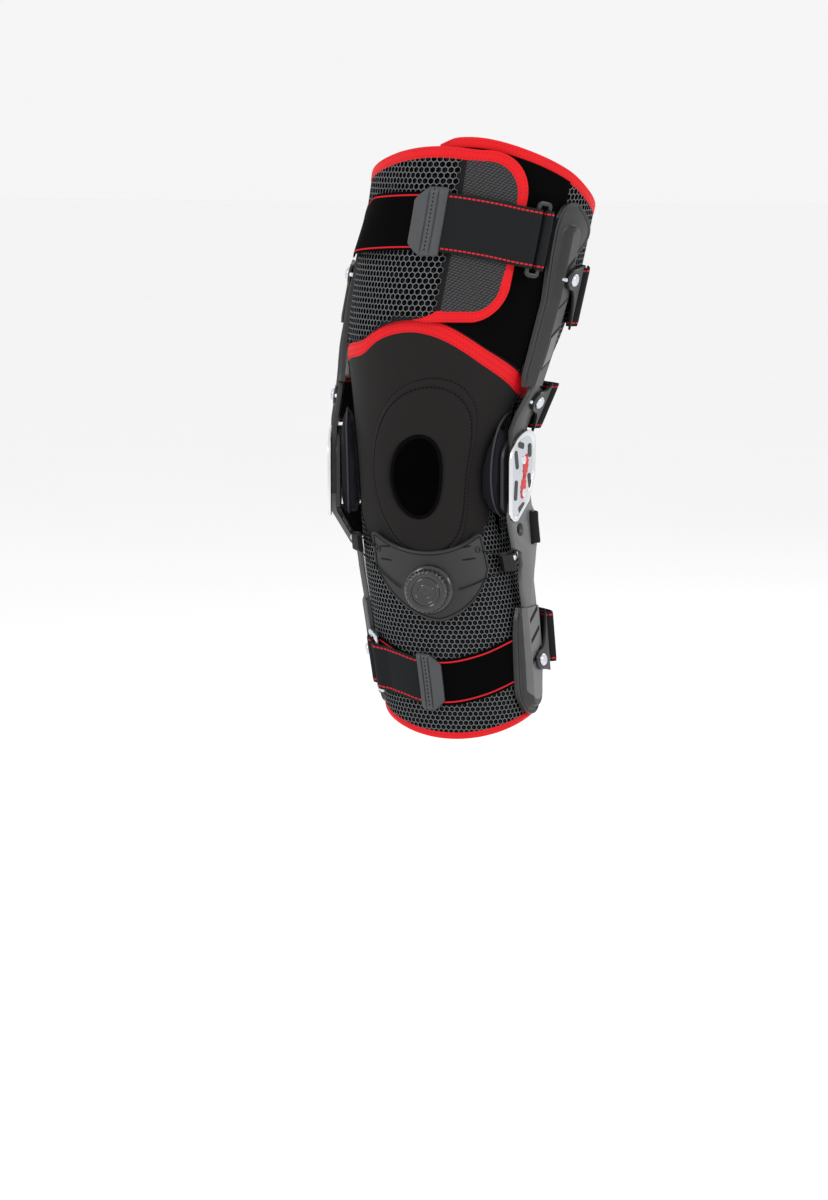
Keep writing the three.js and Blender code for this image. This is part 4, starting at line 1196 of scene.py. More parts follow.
@dataclass(frozen=True)
class ThighWrap:
    """Spacer-mesh wrap of the thigh, with the front flap that closes over its own start."""

    start: float = -12.0
    corner: float = 372.0
    end: float = 395.0
    ramp: Flat = (315.0, 345.0)
    tape_end: float = 361.0
    rise: float = 5.4
    flap_bottom: float = 123.8
    top_corner: float = 38.0
    bottom_corner: Flat = (27.0, 16.0)
    binding: float = 9.0
    proud: float = 0.4
    stitch_insets: Flat = (2.2, 6.8)
    seam: float = 362.0
    seam_half: float = 1.0
    seam_pinch: float = 1.1
    velour_to: float = 60.0
    velour_edge: float = 8.0
    velour_pile: float = 0.9
    tuck: float = 2.5
    tail: float = 11.0
    net: NetWeave = NetWeave(4.9, 0.75, 0.3, 0.9)
    top: Table = (
        (-12, 260), (-4, 265), (12, 264), (33, 255), (58, 240), (80, 224), (102, 213), (140, 207),
        (190, 207), (240, 220), (306, 247.5), (327, 255), (349, 258.5), (370, 255.5),
    )

    def depth(self, turn: float) -> float:
        """Depth of the wrap's inner face, which climbs on to the velour at the front."""
        return self.rise * smooth_step(turn, *self.ramp)

    def edges(self, turn: float, inset: float, tuck: float = 0.0) -> Flat:
        """Lower and upper edge of the wrap.

        Args:
            turn: turn round the limb.
            inset: distance inside the binding's outer edge.
            tuck: how far the wrap goes on under the knee tape.

        Returns:
            Heights of both edges.
        """
        last = self.end - inset / THIGH_ARC
        top_share = (turn - self.corner) / (last - self.corner)
        bottom_height, bottom_degrees = self.bottom_corner
        bottom_share = (turn - self.end + bottom_degrees) / (bottom_degrees - inset / THIGH_ARC)
        top = smooth_value(self.top, turn) - inset - rounded_drop(top_share, self.top_corner - inset)
        low = self.flap_bottom + inset if turn > self.tape_end else TAPE.at(turn, 0.5) + GAP
        low -= tuck if turn < self.tape_end else 0.0
        return low + rounded_drop(bottom_share, bottom_height - inset), top

    def place(self, turn: float, share: float, depth: float, inset: float, tuck: float = 0.0) -> Vector:
        """Point of a wall of the wrap, for a share between its edges."""
        z = mix(*self.edges(turn, inset, tuck), share)
        return LEG.place(turn, z, self.depth(turn) + depth)

    def corner_turns(self, start: float, inset: float, first: float, steps: int) -> list[float]:
        """Turns from the start of a corner to the flap's end, closer together towards the end."""
        last = self.end - inset / THIGH_ARC
        return [start + (last - start) * math.sin(math.radians(way)) for way in spread(first, 90, steps)]

    def core(self) -> Piece:
        """Closed wall of the wrap under its net.

        Returns:
            The wall.
        """
        inset = self.binding / 2
        turns = spread(self.start, self.tape_end, 150) + spread(self.tape_end + 0.4, self.corner, 6)
        bm = slab(
            turns + self.corner_turns(self.corner, inset, 7.5, 11),
            spread(0, 1, 24),
            lambda turn, share, depth: self.place(turn, share, depth, inset, self.tuck),
            (MESH - self.net.relief, 0.0),
            uv=lambda turn, share: (turn * THIGH_ARC * MM, share * 0.14),
        )
        return make_piece("thigh_wrap_core", bm, LINING, "thigh_wrap")

    def honeycomb(self) -> Piece:
        """Honeycomb face, as far as the seam of the flap's pressed end.

        Returns:
            The net.
        """

        def shows(turn: float, z: float) -> bool:
            """Whether a cell shows, with a margin that the bindings hide."""
            low, high = self.edges(turn, self.binding)
            return low + 1.0 < z < high + 1.4

        angles = (self.velour_to - 2, self.seam - self.seam_half)
        floor = MESH - self.net.relief
        bm = self.net.sheet(angles, (60, 262), THIGH_ARC, shows, lambda turn: self.depth(turn) + floor)
        return make_piece("thigh_net", bm, [THREAD, CORE], crease=50)

    def pressed_end(self) -> Piece:
        """Pressed end of the flap, beyond its seam.

        Returns:
            The end.
        """
        inset = self.binding - 2.0
        first = self.seam + self.seam_half
        turns = spread(first, first + 2, 4) + spread(first + 3, self.corner, 4)

        def place(turn: float, share: float, depth: float) -> Vector:
            """Point of the end, which is pinched in at the seam."""
            pinch = self.seam_pinch * (1 - smooth_step(turn, first, first + 2))
            return self.place(turn, share, depth - pinch, inset)

        bm = slab(
            turns + self.corner_turns(self.corner, inset, 7.5, 11),
            spread(0, 1, 40),
            place,
            (MESH + 0.05, 1.2),
            uv=lambda turn, share: (turn * THIGH_ARC * MM, mix(*self.edges(turn, inset), share) * MM),
        )
        return make_piece("flap_end", bm, PRESSED)

    def edge_line(self, inset: float) -> list[Flat]:
        """Bound edge, from the wrap's start round the flap to the tail of its lower corner.

        Args:
            inset: distance inside the edge.

        Returns:
            Turns and heights.
        """
        low_start, low_end = self.end - self.bottom_corner[1], self.tape_end + 0.6
        upper = spread(self.start, self.corner, 192) + self.corner_turns(self.corner, inset, 5, 17)
        lower = self.corner_turns(low_start, inset, 5, 17)[::-1] + spread(low_start, low_end, 10)
        line = [(turn, self.edges(turn, inset)[1]) for turn in upper]
        line += [(turn, self.edges(turn, inset)[0]) for turn in lower]
        for share in spread(0.1, 1, 9):
            turn = low_end - self.tail * share
            narrow = TAPE.at(turn, 0.5) - self.tuck + inset * 0.15
            line.append((turn, mix(self.flap_bottom + inset, narrow, smooth_step(share, -0.2, 1.0))))
        return line

    def binding_tape(self) -> None:
        """Makes the red binding folded over the edge, with its rows of stitches."""

        def placed(inset: float, depth: float) -> list[Spot]:
            """Line along the edge, at a depth over the wrap's inner face."""
            return [(turn, z, self.depth(turn) + depth) for turn, z in self.edge_line(inset)]

        pairs = list(zip(placed(self.binding, -self.proud), placed(0, -self.proud)))
        make_piece("wrap_binding_soft", band(pairs, MESH + 2 * self.proud), RED_TAPE, "wrap_binding")
        seat = MESH + self.proud - 0.15
        lines = [curve_through(placed(inset, seat), 4) for inset in self.stitch_insets]
        rows = [stitch_row(line, *BINDING_STITCH) for line in lines]
        make_piece("wrap_binding_stitches", joined(*rows), RED_THREAD)

    def velour(self) -> Piece:
        """Velour field that the flap's end closes on.

        Returns:
            The field.
        """

        def place(angle: float, share: float, level: float) -> Vector:
            """Point of the field, whose pile thins out towards its edges.

            Args:
                angle: angle from the front.
                share: share of its height.
                level: 1 on the pile, 0 on its ground.

            Returns:
                The point.
            """
            high = smooth_value(self.top, angle) - self.velour_edge
            edge = clamp(min(share, 1 - share, (self.velour_to - angle) / 80) / 0.02)
            pile = 0.15 + self.velour_pile * math.sqrt(edge)
            return LEG.place(angle, mix(TAPE.at(angle, 0.5) + 1, high, share), MESH + 0.45 + level * pile)

        bm = slab(
            spread(self.start, self.velour_to, 72),
            spread(0, 1, 60),
            place,
            uv=lambda angle, share: (angle * THIGH_ARC * MM, share * 0.15),
        )
        return make_piece("velour_field", bm, VELOUR, "loop_panel")

    def build(self) -> None:
        """Makes the wrap with its faces, binding and velour."""
        core = self.core()
        faces = [self.honeycomb(), self.pressed_end()]
        self.binding_tape()
        self.velour()


WRAP = ThighWrap()


class Oval(NamedTuple):
    """Oval on the limb: its middle and its half sizes, in degrees and height."""

    angle: float
    z: float
    half_angle: float
    half_height: float

    def at(self, share: float) -> Flat:
        """Angle and height for a share of its round."""
        across, up = math.cos(share * math.tau), math.sin(share * math.tau)
        return self.angle + self.half_angle * across, self.z + self.half_height * up


@dataclass(frozen=True)
class KneeAndCalf:
    """Neoprene knee front with its hole, the raised oval, the calf sleeve and its hem."""

    reach: float = 72.0
    side_bottom: float = -25.0
    drop: float = 50.0
    hole: Oval = Oval(4.5, 2.0, 20.6, 32.0)
    ring_inside: Oval = Oval(4.5, 2.0, 23.0, 34.0)
    ring_outside: Oval = Oval(7.0, 8.0, 42.0, 72.0)
    ring_rise: float = 2.0
    ring_seam: float = 0.84
    seam_depth: float = 1.3
    hem_angle: float = 6.0
    hem_side: float = -190.0
    hem_dip: float = 17.0
    hem_width: float = 5.5
    hem_stitch: float = 3.6
    proud: float = 0.4
    tuck: float = 2.5
    net: NetWeave = NetWeave(4.2, 0.68, 0.22, 1.0)

    def knee_bottom(self, angle: float) -> float:
        """Lower edge of the knee front, deepest in the middle."""
        return self.side_bottom - self.drop * math.cos(math.radians(angle / self.reach * 90))

    def hem_bottom(self, angle: float) -> float:
        """Lower edge of the hem."""
        return self.hem_side - self.hem_dip * max(0.0, math.cos(math.radians(angle - self.hem_angle))) ** 1.5

    def collar(self, angle: float) -> float:
        """Upper edge of the calf sleeve."""
        turn = (angle + 180) % 360 - 180
        return self.knee_bottom(turn) if abs(turn) <= self.reach else TAPE.at(turn, -0.5) + self.tuck

    def rim(self, share: float) -> Flat:
        """Place where the ray of a share meets the outline of the knee front.

        Args:
            share: share of a round.

        Returns:
            Angle and height.
        """
        way = share * math.tau

        def at(reach: float) -> Flat:
            """Place along the ray."""
            return self.hole.angle + math.cos(way) * reach, self.hole.z + math.sin(way) * reach * 1.3

        def inside(reach: float) -> bool:
            """Whether a place along the ray is still on the front."""
            angle, z = at(reach)
            return abs(angle) < self.reach and self.knee_bottom(angle) < z < TAPE.at(angle, -0.5) + self.tuck

        return at(last_true(0.0, 160.0, 30, inside))

    def knee_front(self) -> Piece:
        """Neoprene front, open round the kneecap.

        Returns:
            The front.
        """
        shares = spread(0, 1, 180)
        rims = {share: self.rim(share) for share in shares}

        def spot(share: float, out: float) -> tuple[float, ...]:
            """Angle and height between the hole and the outline."""
            return mix_spots(self.hole.at(share), rims[share], out)

        def place(share: float, out: float, level: float) -> Vector:
            """Point of the front, whose outer face is rolled in at the hole."""
            return LEG.place(*spot(share, out), level * (NEOPRENE - 1 + smooth_step(out, 0.0, 0.03)))

        outs = [0, 0.01, 0.03] + spread(0.06, 1, 26)
        bm = slab(shares, outs, place, ring=True, uv=lambda share, out: calf_uv(*spot(share, out)))
        return make_piece("knee_front", bm, JERSEY, "knee_panel")

    def raised_oval(self) -> None:
        """Makes the padded oval round the hole, sewn down along its outer edge."""

        def spot(share: float, out: float) -> tuple[float, ...]:
            """Angle and height between the two ovals."""
            return mix_spots(self.ring_inside.at(share), self.ring_outside.at(share), out)

        def place(share: float, out: float, level: float) -> Vector:
            """Point of the oval, which is crowned, with a fine sewn line near its outer edge.

            Args:
                share: share of its round.
                out: share of its width.
                level: 1 on the outer face, 0 on the inner one.

            Returns:
                The point.
            """
            crown = math.sqrt(smooth_step(out, -0.02, 0.16)) * math.sqrt(smooth_step(1.02 - out, 0.0, 0.24))
            rise = 0.1 + self.ring_rise * crown - self.seam_depth * dent(out, self.ring_seam, 0.035)
            return LEG.place(*spot(share, out), NEOPRENE + 0.05 + level * rise)

        outs = [0, 0.02, 0.05, 0.09, 0.14] + spread(0.2, 0.74, 8) + spread(0.77, 1, 16)
        uv: UvMap = lambda share, out: calf_uv(*spot(share, out))
        bm = slab(spread(0, 1, 120), outs, place, ring=True, uv=uv)
        ring = make_piece("patella_oval", bm, JERSEY, "patella_ring", crease=60)
        rows = []
        for out, lift in ((self.ring_seam, 0.75), (0.995, 0.3)):
            path = [(*spot(share, out), NEOPRENE + lift) for share in spread(0, 1, 700)]
            rows.append(stitch_row(path, *BOLD_STITCH))
        make_piece("patella_oval_stitches", joined(*rows), DARK_THREAD)

    def hole_rim(self) -> None:
        """Makes the rolled edge of the hole."""
        line = [LEG.place(*self.hole.at(share), 2.2) for share in spread(0, 1, 90)[:-1]]
        make_piece("patella_hole_rim", rope(line, 1.5, 10, ring=True), DARK_THREAD)

    def sleeve(self) -> None:
        """Makes the calf sleeve: its wall and the honeycomb over it."""
        side = self.reach + 0.6
        ring = spread(-180, -side, 44) + spread(-self.reach, self.reach, 72) + spread(side, 180, 44)
        thick = CALF_MESH - self.net.relief

        def place(angle: float, share: float, depth: float) -> Vector:
            """Point of the wall."""
            low = self.hem_bottom(angle) + self.hem_width - self.tuck
            return LEG.place(angle, mix(low, self.collar(angle), share), depth)

        def shows(angle: float, z: float) -> bool:
            """Whether a cell shows, with a margin under the hem and the tape."""
            margin = 1.2 if abs((angle + 180) % 360 - 180) > self.reach else 0.6
            return self.hem_bottom(angle) + self.hem_width - 2.0 < z < self.collar(angle) - margin

        uv: UvMap = lambda angle, share: (angle * CALF_ARC * MM, share * 0.2)
        bm = slab(ring, spread(0, 1, 30), place, (thick, 0.0), ring=True, uv=uv)
        core = make_piece("calf_sleeve_core", bm, LINING, "calf_sleeve")
        bm = self.net.sheet((-180, 180), (-210, 100), CALF_ARC, shows, lambda angle: thick)
        net = make_piece("calf_net", bm, [CALF_THREAD, CORE], crease=50)

    def hem(self) -> None:
        """Makes the red hem with its row of stitches."""

        def line(up: float, depth: float, steps: int) -> list[Spot]:
            """Line round the hem, a way up from its lower edge."""
            return [(angle, self.hem_bottom(angle) + up, depth) for angle in spread(-180, 180, steps)]

        edges = list(zip(line(0.0, -self.proud, 160), line(self.hem_width, -self.proud, 160)))[:-1]
        bm = band(edges, CALF_MESH + 2 * self.proud, ring=True)
        make_piece("calf_hem", bm, RED_TAPE, "calf_binding")
        path = line(self.hem_stitch, CALF_MESH + self.proud - 0.05, 700)
        make_piece("calf_hem_stitches", stitch_row(path, *BINDING_STITCH), RED_THREAD)

    def build(self) -> None:
        """Makes the knee front, the oval, the hem and the sleeve."""
        front = self.knee_front()
        self.raised_oval()
        self.hole_rim()
        self.hem()
        self.sleeve()


KNEE = KneeAndCalf()


class PathPoint(NamedTuple):
    """Station of a strap: its angle, its depth outside the limb, and how far it slips down."""

    angle: float
    depth: float
    slip: float = 0.0


def hairpin(angle: float, depth: float, radius: float, limb_radius: float, turn: int) -> list[PathPoint]:
    """Half turn of a strap round a bar.

    Args:
        angle: angle of the bar.
        depth: depth of the bar's middle.
        radius: radius of the strap's middle line.
        limb_radius: radius of the limb there.
        turn: way that the half turn bulges.

    Returns:
        Stations from the inner to the outer side.
    """
    arc = math.radians(limb_radius + depth)
    ways = [math.radians(way) for way in (-90, -45, 0, 45, 90)]
    return [PathPoint(angle + turn * radius * math.cos(w) / arc, depth + radius * math.sin(w)) for w in ways]


WEB_ROWS = (0.0, 0.02, 0.06, 0.15, 0.3, 0.5, 0.7, 0.85, 0.94, 0.98, 1.0)
WEB_STEPS = 4


def strap_mesh(
    path_at: Callable[[float], Sequence[PathPoint]],
    width: float,
    height: Callable[[float, float], float],
    limb_radius: float,
    loop_to: int = 0,
) -> BMesh:
    """Webbing along a path round the limb.

    Args:
        path_at: path for a share across the strap, from its lower to its upper edge.
        width: width of the strap.
        height: height at an angle, for a share across the strap.
        limb_radius: radius of the limb there.
        loop_to: stations of the path that have loop pile, as the second material.

    Returns:
        Mesh with its way along and its distance from the nearer edge as a map.
    """
    paths = {row: [PathPoint(*spot) for spot in curve_through(path_at(row), WEB_STEPS)] for row in WEB_ROWS}
    count = len(paths[0.5])
    lengths = [0.0]
    for here, after in zip(paths[0.5], paths[0.5][1:]):
        along = (after.angle - here.angle) * math.radians(limb_radius + here.depth)
        lengths.append(lengths[-1] + math.hypot(along, after.depth - here.depth))

    def place(station: int, row: float, side: float) -> Vector:
        """Point of the strap's skin.

        Args:
            station: station of the path.
            row: share across the strap.
            side: 1 on the outer face, -1 on the inner one.

        Returns:
            The point.
        """
        path = paths[row]
        before, after = path[max(station - 1, 0)], path[min(station + 1, count - 1)]
        angle, depth, slip = path[station]
        arc = math.radians(limb_radius + depth)
        along = Vector(((after.angle - before.angle) * arc, after.depth - before.depth)).normalized()
        thin = 0.55 + 0.45 * min(1.0, min(row, 1 - row) / 0.06)
        off = side * thin * WEBBING / 2
        return LEG.place(angle - along.y * off / arc, height(angle, row) - slip, depth + along.x * off)

    uv: UvMap = lambda station, row: (lengths[station] * MM, min(row, 1 - row) * width * MM)
    bm = slab(range(count), WEB_ROWS, place, (1.0, -1.0), uv=uv)
    station_of = bm.verts.layers.int["column"]
    for face in bm.faces:
        if max(vert[station_of] for vert in face.verts) < WEB_STEPS * loop_to:
            face.material_index = 1
    return bm


def rounded_rectangle(width: float, height: float, radius: float, steps: int = 6) -> list[Flat]:
    """Points round a rectangle with rounded corners.

    Args:
        width: size along X.
        height: size along Y.
        radius: radius of its corners.
        steps: steps of a corner.

    Returns:
        The points.
    """
    x, y = width / 2 - radius, height / 2 - radius
    points = []
    for right, up, start in ((1, 1, 0), (-1, 1, 90), (-1, -1, 180), (1, -1, 270)):
        for way in spread(start, start + 90, steps):
            turn = math.radians(way)
            points.append((right * x + radius * math.cos(turn), up * y + radius * math.sin(turn)))
    return points


@dataclass(frozen=True)
class FrontStrap:
    """Front strap that runs to a ring, folds back over itself and ends in a rubber tab."""

    name: str
    arc: float
    width: float
    depth: float
    end: float
    end_depth: float
    fold: float
    ring_near: float
    ring_far: float
    ring_height: float
    ring_bar: float
    anchor_to: float
    anchor_depth: float
    tab: float
    ring_finish: Finish
    middle_line: Table
    tab_overhang: float = 4.0
    tab_thick: float = 4.2
    tab_tongue: float = 0.28
    tab_grooves: Flat = (0.25, 0.52)
    tab_seam: float = 0.385
    end_draw: float = 0.0
    end_twist: float = 0.0
    ring_slip: float = 0.0

    @property
    def turn(self) -> int:
        """Way from the strap's end to its ring."""
        return 1 if self.ring_near > self.end else -1

    @property
    def radius(self) -> float:
        """Radius of the strap round the ring's bar."""
        return self.ring_bar * math.sqrt(0.5) + RING_GAP + WEBBING / 2

    @property
    def limb_radius(self) -> float:
        """Radius of the limb under the strap."""
        return math.degrees(self.arc) - self.depth

    @property
    def ring_depth(self) -> float:
        """Depth of the ring's middle."""
        return self.depth + self.radius

    def middle(self, angle: float) -> float:
        """Height of the strap's middle."""
        return smooth_value(self.middle_line, angle)

    def height(self, angle: float, row: float) -> float:
        """Height of the strap for a share across it, with the upper edge drawn down towards its end."""
        drawn = row * self.end_draw * (1 - smooth_step(abs(angle - self.end), 6, 32))
        return self.middle(angle) + (row - 0.5) * self.width - drawn

    def sweep(self, start: float, stop: float) -> list[float]:
        """Angles from one to another, a few degrees apart."""
        return spread(start, stop, max(2, round(abs(stop - start) / 6)))

    def slip(self, angle: float) -> float:
        """Shift between the strap's two layers, which grows towards the ring."""
        return self.ring_slip * smooth_step(30 - abs(angle - self.ring_near), 0, 30)

    def run(self) -> None:
        """Makes the strap round its ring."""
        under = self.sweep(self.end, self.ring_near - self.turn * 4)
        over = self.sweep(self.ring_near - self.turn * 10, self.fold)
        near = self.ring_near - self.turn * 3
        turned = hairpin(self.ring_near, self.ring_depth, self.radius, self.limb_radius, self.turn)
        folded = [place._replace(slip=self.ring_slip * (step / 2 - 1)) for step, place in enumerate(turned)]
        folded.append(PathPoint(near, self.ring_depth + self.radius - 0.5, self.slip(near)))
        folded += [PathPoint(angle, self.depth + WEBBING + STRAP_GAP, self.slip(angle)) for angle in over]

        def path_at(row: float) -> list[PathPoint]:
            """Path of one row of the webbing, whose upper edge lies closer to the limb at the strap's end.

            Args:
                row: share across the strap.

            Returns:
                The path.
            """
            path = []
            for angle in under:
                rise = smooth_step(abs(angle - self.end), 4, 24 + 26 * row * (self.end_twist > 0))
                depth = mix(self.end_depth - self.end_twist * row, self.depth, rise)
                path.append(PathPoint(angle, depth, -self.slip(angle)))
            return path + folded

        bm = strap_mesh(path_at, self.width, self.height, self.limb_radius, len(under) + 2)
        finishes = [STRAP_CLOTH, STRAP_LOOP]
        make_piece(f"{self.name}_strap_web", bm, finishes, f"{self.name}_strap", crease=55)

    def holder(self) -> None:
        """Makes the folded webbing that holds the ring."""
        turn, far, depth = self.turn, self.ring_far, self.ring_depth
        path = [
            PathPoint(far + turn * 3.4, self.anchor_depth + WEBBING + STRAP_GAP + 1.5),
            PathPoint(far + turn * 2, depth + self.radius - 1),
            *reversed(hairpin(far, depth, self.radius, self.limb_radius, -turn)),
            PathPoint(far + turn * 2, mix(depth - self.radius, self.anchor_depth, 0.5)),
            PathPoint(far + turn * 4, self.anchor_depth),
            PathPoint(self.anchor_to, self.anchor_depth),
        ]
        bm = strap_mesh(lambda row: path, self.width, self.height, self.limb_radius)
        make_piece(f"{self.name}_ring_holder", bm, STRAP_CLOTH, f"{self.name}_ring_tab", crease=55)

    def ring(self) -> None:
        """Makes the rectangular ring, laid along the limb."""
        length = abs(self.ring_far - self.ring_near) * self.arc
        loop = [Vector(at) for at in rounded_rectangle(length, self.ring_height - self.ring_bar, 2.2, 5)]
        middle = (self.ring_near + self.ring_far) / 2
        slope = (self.middle(middle + 5) - self.middle(middle - 5)) / (10 * self.arc)
        count = len(loop)

        def point(station: int, side: int) -> Vector:
            """Point of the ring's skin, which is stouter at its ends.

            Args:
                station: station of the loop.
                side: side of the section.

            Returns:
                The point.
            """
            along = (loop[(station + 1) % count] - loop[station - 1]).normalized()
            way = math.tau * (side + 0.5) / 12
            ends = smooth_step(abs(loop[station].y), self.width / 2, self.width / 2 + 4)
            half = self.ring_bar / 2 * (1 + 0.55 * ends)
            x, y = loop[station] + Vector((along.y, -along.x)) * (half * signed_power(math.cos(way), 0.55))
            lift = half * signed_power(math.sin(way), 0.55)
            z = self.middle(middle) + y + slope * x
            return LEG.place(middle + x / self.arc, z, self.ring_depth + lift)

        bm = tube(count, 12, point, ring=True)
        make_piece(f"{self.name}_ring_frame", bm, self.ring_finish, f"{self.name}_ring")

    def tab_spot(self, share: float, row: float, level: float) -> Spot:
        """Place on the rubber tab.

        Args:
            share: share of its length, from the strap on.
            row: share across it.
            level: 1 on the outer face, 0 on the inner one.

        Returns:
            Angle, height and depth.
        """
        angle = self.fold - self.turn * (GAP + share * self.tab) / self.arc
        half = (self.width / 2 + self.tab_overhang) * (1 - self.tab_tongue * smooth_step(share, 0.5, 1.0))
        half *= 1 - 0.14 * max(0.0, (share - 0.85) / 0.15) ** 2 - 0.05 * max(0.0, (0.1 - share) / 0.1) ** 2
        full = self.tab_thick * (1 - 0.4 * smooth_step(share, 0.4, 1.0))
        edge = min(1.0, min(row, 1 - row) / 0.07) ** 0.5 * min(1.0, min(share, 1 - share) / 0.09) ** 0.5
        groove = sum(1.1 * dent(share, line, 0.022) for line in self.tab_grooves)
        thick = full * (0.35 + 0.65 * edge) - groove * edge
        base = self.depth + WEBBING / 2 + STRAP_GAP
        return angle, self.middle(angle) + (2 * row - 1) * half, base + level * thick

    def grip(self) -> None:
        """Makes the rubber tab on the strap's end, with grooves across it and a sewn line."""
        shares = [0, 0.01, 0.03, 0.06, 0.09] + spread(0.12, 0.6, 60) + spread(0.64, 0.9, 8)
        shares += [0.93, 0.96, 0.98, 1]
        rows = [0, 0.008, 0.02, 0.04, 0.07] + spread(0.1, 0.9, 16) + [0.93, 0.96, 0.98, 0.992, 1]
        bm = slab(shares, rows, lambda share, row, level: LEG.place(*self.tab_spot(share, row, level)))
        make_piece(f"{self.name}_grip", bm, RUBBER, f"{self.name}_tab", crease=60)
        seam = [self.tab_spot(self.tab_seam, row, 1.0) for row in spread(0.04, 0.96, 160)]
        seam = [(angle, z, depth - 0.05) for angle, z, depth in seam]
        make_piece(f"{self.name}_grip_stitches", stitch_row(seam, *BOLD_STITCH), DARK_THREAD)

    def build(self) -> None:
        """Makes the strap, its ring and holder, and its tab."""
        self.run()
        self.holder()
        self.ring()
        self.grip()


THIGH_STRAP = FrontStrap(
    name="thigh", arc=THIGH_ARC, width=45.0, depth=10.1, end=-79.0, end_depth=6.9, fold=-2.0,
    ring_near=40.0, ring_far=45.4, ring_height=57.0, ring_bar=2.4, anchor_to=51.5, anchor_depth=5.8,
    tab=26.0, ring_finish=SHELL_PLASTIC, end_draw=9.0, end_twist=4.2,
    middle_line=(
        (-90, 190), (-57, 197), (-36, 200), (-17, 201.3), (-2, 200.6), (17, 196), (37, 189), (60, 182),
    ),
)
CALF_STRAP = FrontStrap(
    name="calf", arc=CALF_ARC, width=37.0, depth=4.9, end=66.0, end_depth=4.9, fold=-14.0,
    ring_near=-52.0, ring_far=-60.5, ring_height=48.0, ring_bar=3.0, anchor_to=-74.0, anchor_depth=4.9,
    tab=18.5, ring_finish=STEEL, ring_slip=2.2,
    middle_line=(
        (-80, -147), (-55, -150), (-32, -155), (-13, -160), (8, -160.5), (30, -155.5), (55, -147), (70, -143),
    ),
)


class BracketSpec(NamedTuple):
    """Sizes and place of one swivel strap bracket."""

    name: str
    upper: bool
    z: float
    rivet: float
    length: float
    strap: float
    seat: float
    back: float


BRACKETS = (
    BracketSpec("thigh", True, 141, 15, 60, 46, 3.5, 4),
    BracketSpec("knee", True, 54, 6, 52, 36, 2, 9.5),
    BracketSpec("calf", False, -131, -16, 54, 40, 3.5, 4),
)
BRACKET_THICK = 2.5
BRACKET_EAR = 8.0
BRACKET_WEB = 11.0
BRACKET_BAR = 4.5
BRACKET_SLOT = 5.5
BRACKET_BEND = math.radians(14)
BRACKET_RISE = 0.4
BAR_HALF = 2.0
SLOT_EDGE = 17.5
CASE = (-5.3, -2.3)
BAR_BACKS = {
    True: ((1.5, 6), (5, 11), (14, 14), (34, 13), (46, 12), (52, 17), (66, 17), (71, 6.5), (186, 6.5)),
    False: (
        (-180, 7), (-150, 9), (-112, 10), (-84, 10), (-76, 13), (-70, 16), (-60, 20), (-56, 22), (-30, 22),
        (-24, 17), (-12, 14), (-5, 11), (-1.5, 6),
    ),
}
SHELLS = {
    True: (
        (72, -10, 10), (79, -14, 11), (100, -15, 11), (140, -15, 11), (174, -17, 12), (182, -17, 24),
        (191, -17, 30), (200, -16, 23), (209, -13, 11), (215, -8, 3),
    ),
    False: (
        (-190, -6, 5), (-184, -13, 12), (-172, -18, 17), (-150, -19, 16), (-125, -18, 14), (-110, -16, 13),
        (-104, -12, 11),
    ),
}
RIDGE_ENDS = {True: 198.0, False: -186.0}
UPPER_LINES = {
    Side.LATERAL: (
        (0, 0, 0), (37, 0, -4), (48, 4.5, -5), (65, 12.5, -5), (100, 25, -5), (140, 36.5, -4), (190, 46, -2),
        (220, 50.5, -2),
    ),
    Side.MEDIAL: (
        (0, 0, 0), (37, 0, 2), (65, -4, 6), (100, -6.6, 17), (140, -12.6, 30), (190, -23.6, 37),
        (220, -28.5, 38),
    ),
}
LOWER_LINES = {
    Side.LATERAL: ((-195, 12.6, 4), (-150, 11, 4), (-112, 7.5, 4), (-75, 3.5, 3), (-36, 0, 1), (0, 0, 0)),
    Side.MEDIAL: (
        (-195, -39.2, 19), (-150, -32.7, 17), (-112, -26.3, 12), (-75, -20.8, 5), (-62, -19, 2),
        (-55, -14.5, 1), (-30, 0, 1), (0, 0, 0),
    ),
}
HINGE_X = {Side.LATERAL: 77.0, Side.MEDIAL: 75.0}
HINGE_FACE = math.radians(77)
PLATE_AXES = Matrix(((0, 0, 1, 0), (1, 0, 0, 0), (0, 1, 0, 0), (0, 0, 0, 1)))


def bend(start: Flat, way: Flat, stop: Flat) -> list[Flat]:
    """Points of a flat curve that a way point bends, without its start."""
    steps = [(mix_spots(start, way, t), mix_spots(way, stop, t), t) for t in spread(0, 1, 12)[1:]]
    return [mix_spots(*step) for step in steps]


def column(table: Sequence[tuple[float, ...]], index: int) -> list[Flat]:
    """Place and one value of a table with several values."""
    return [(row[0], row[index]) for row in table]


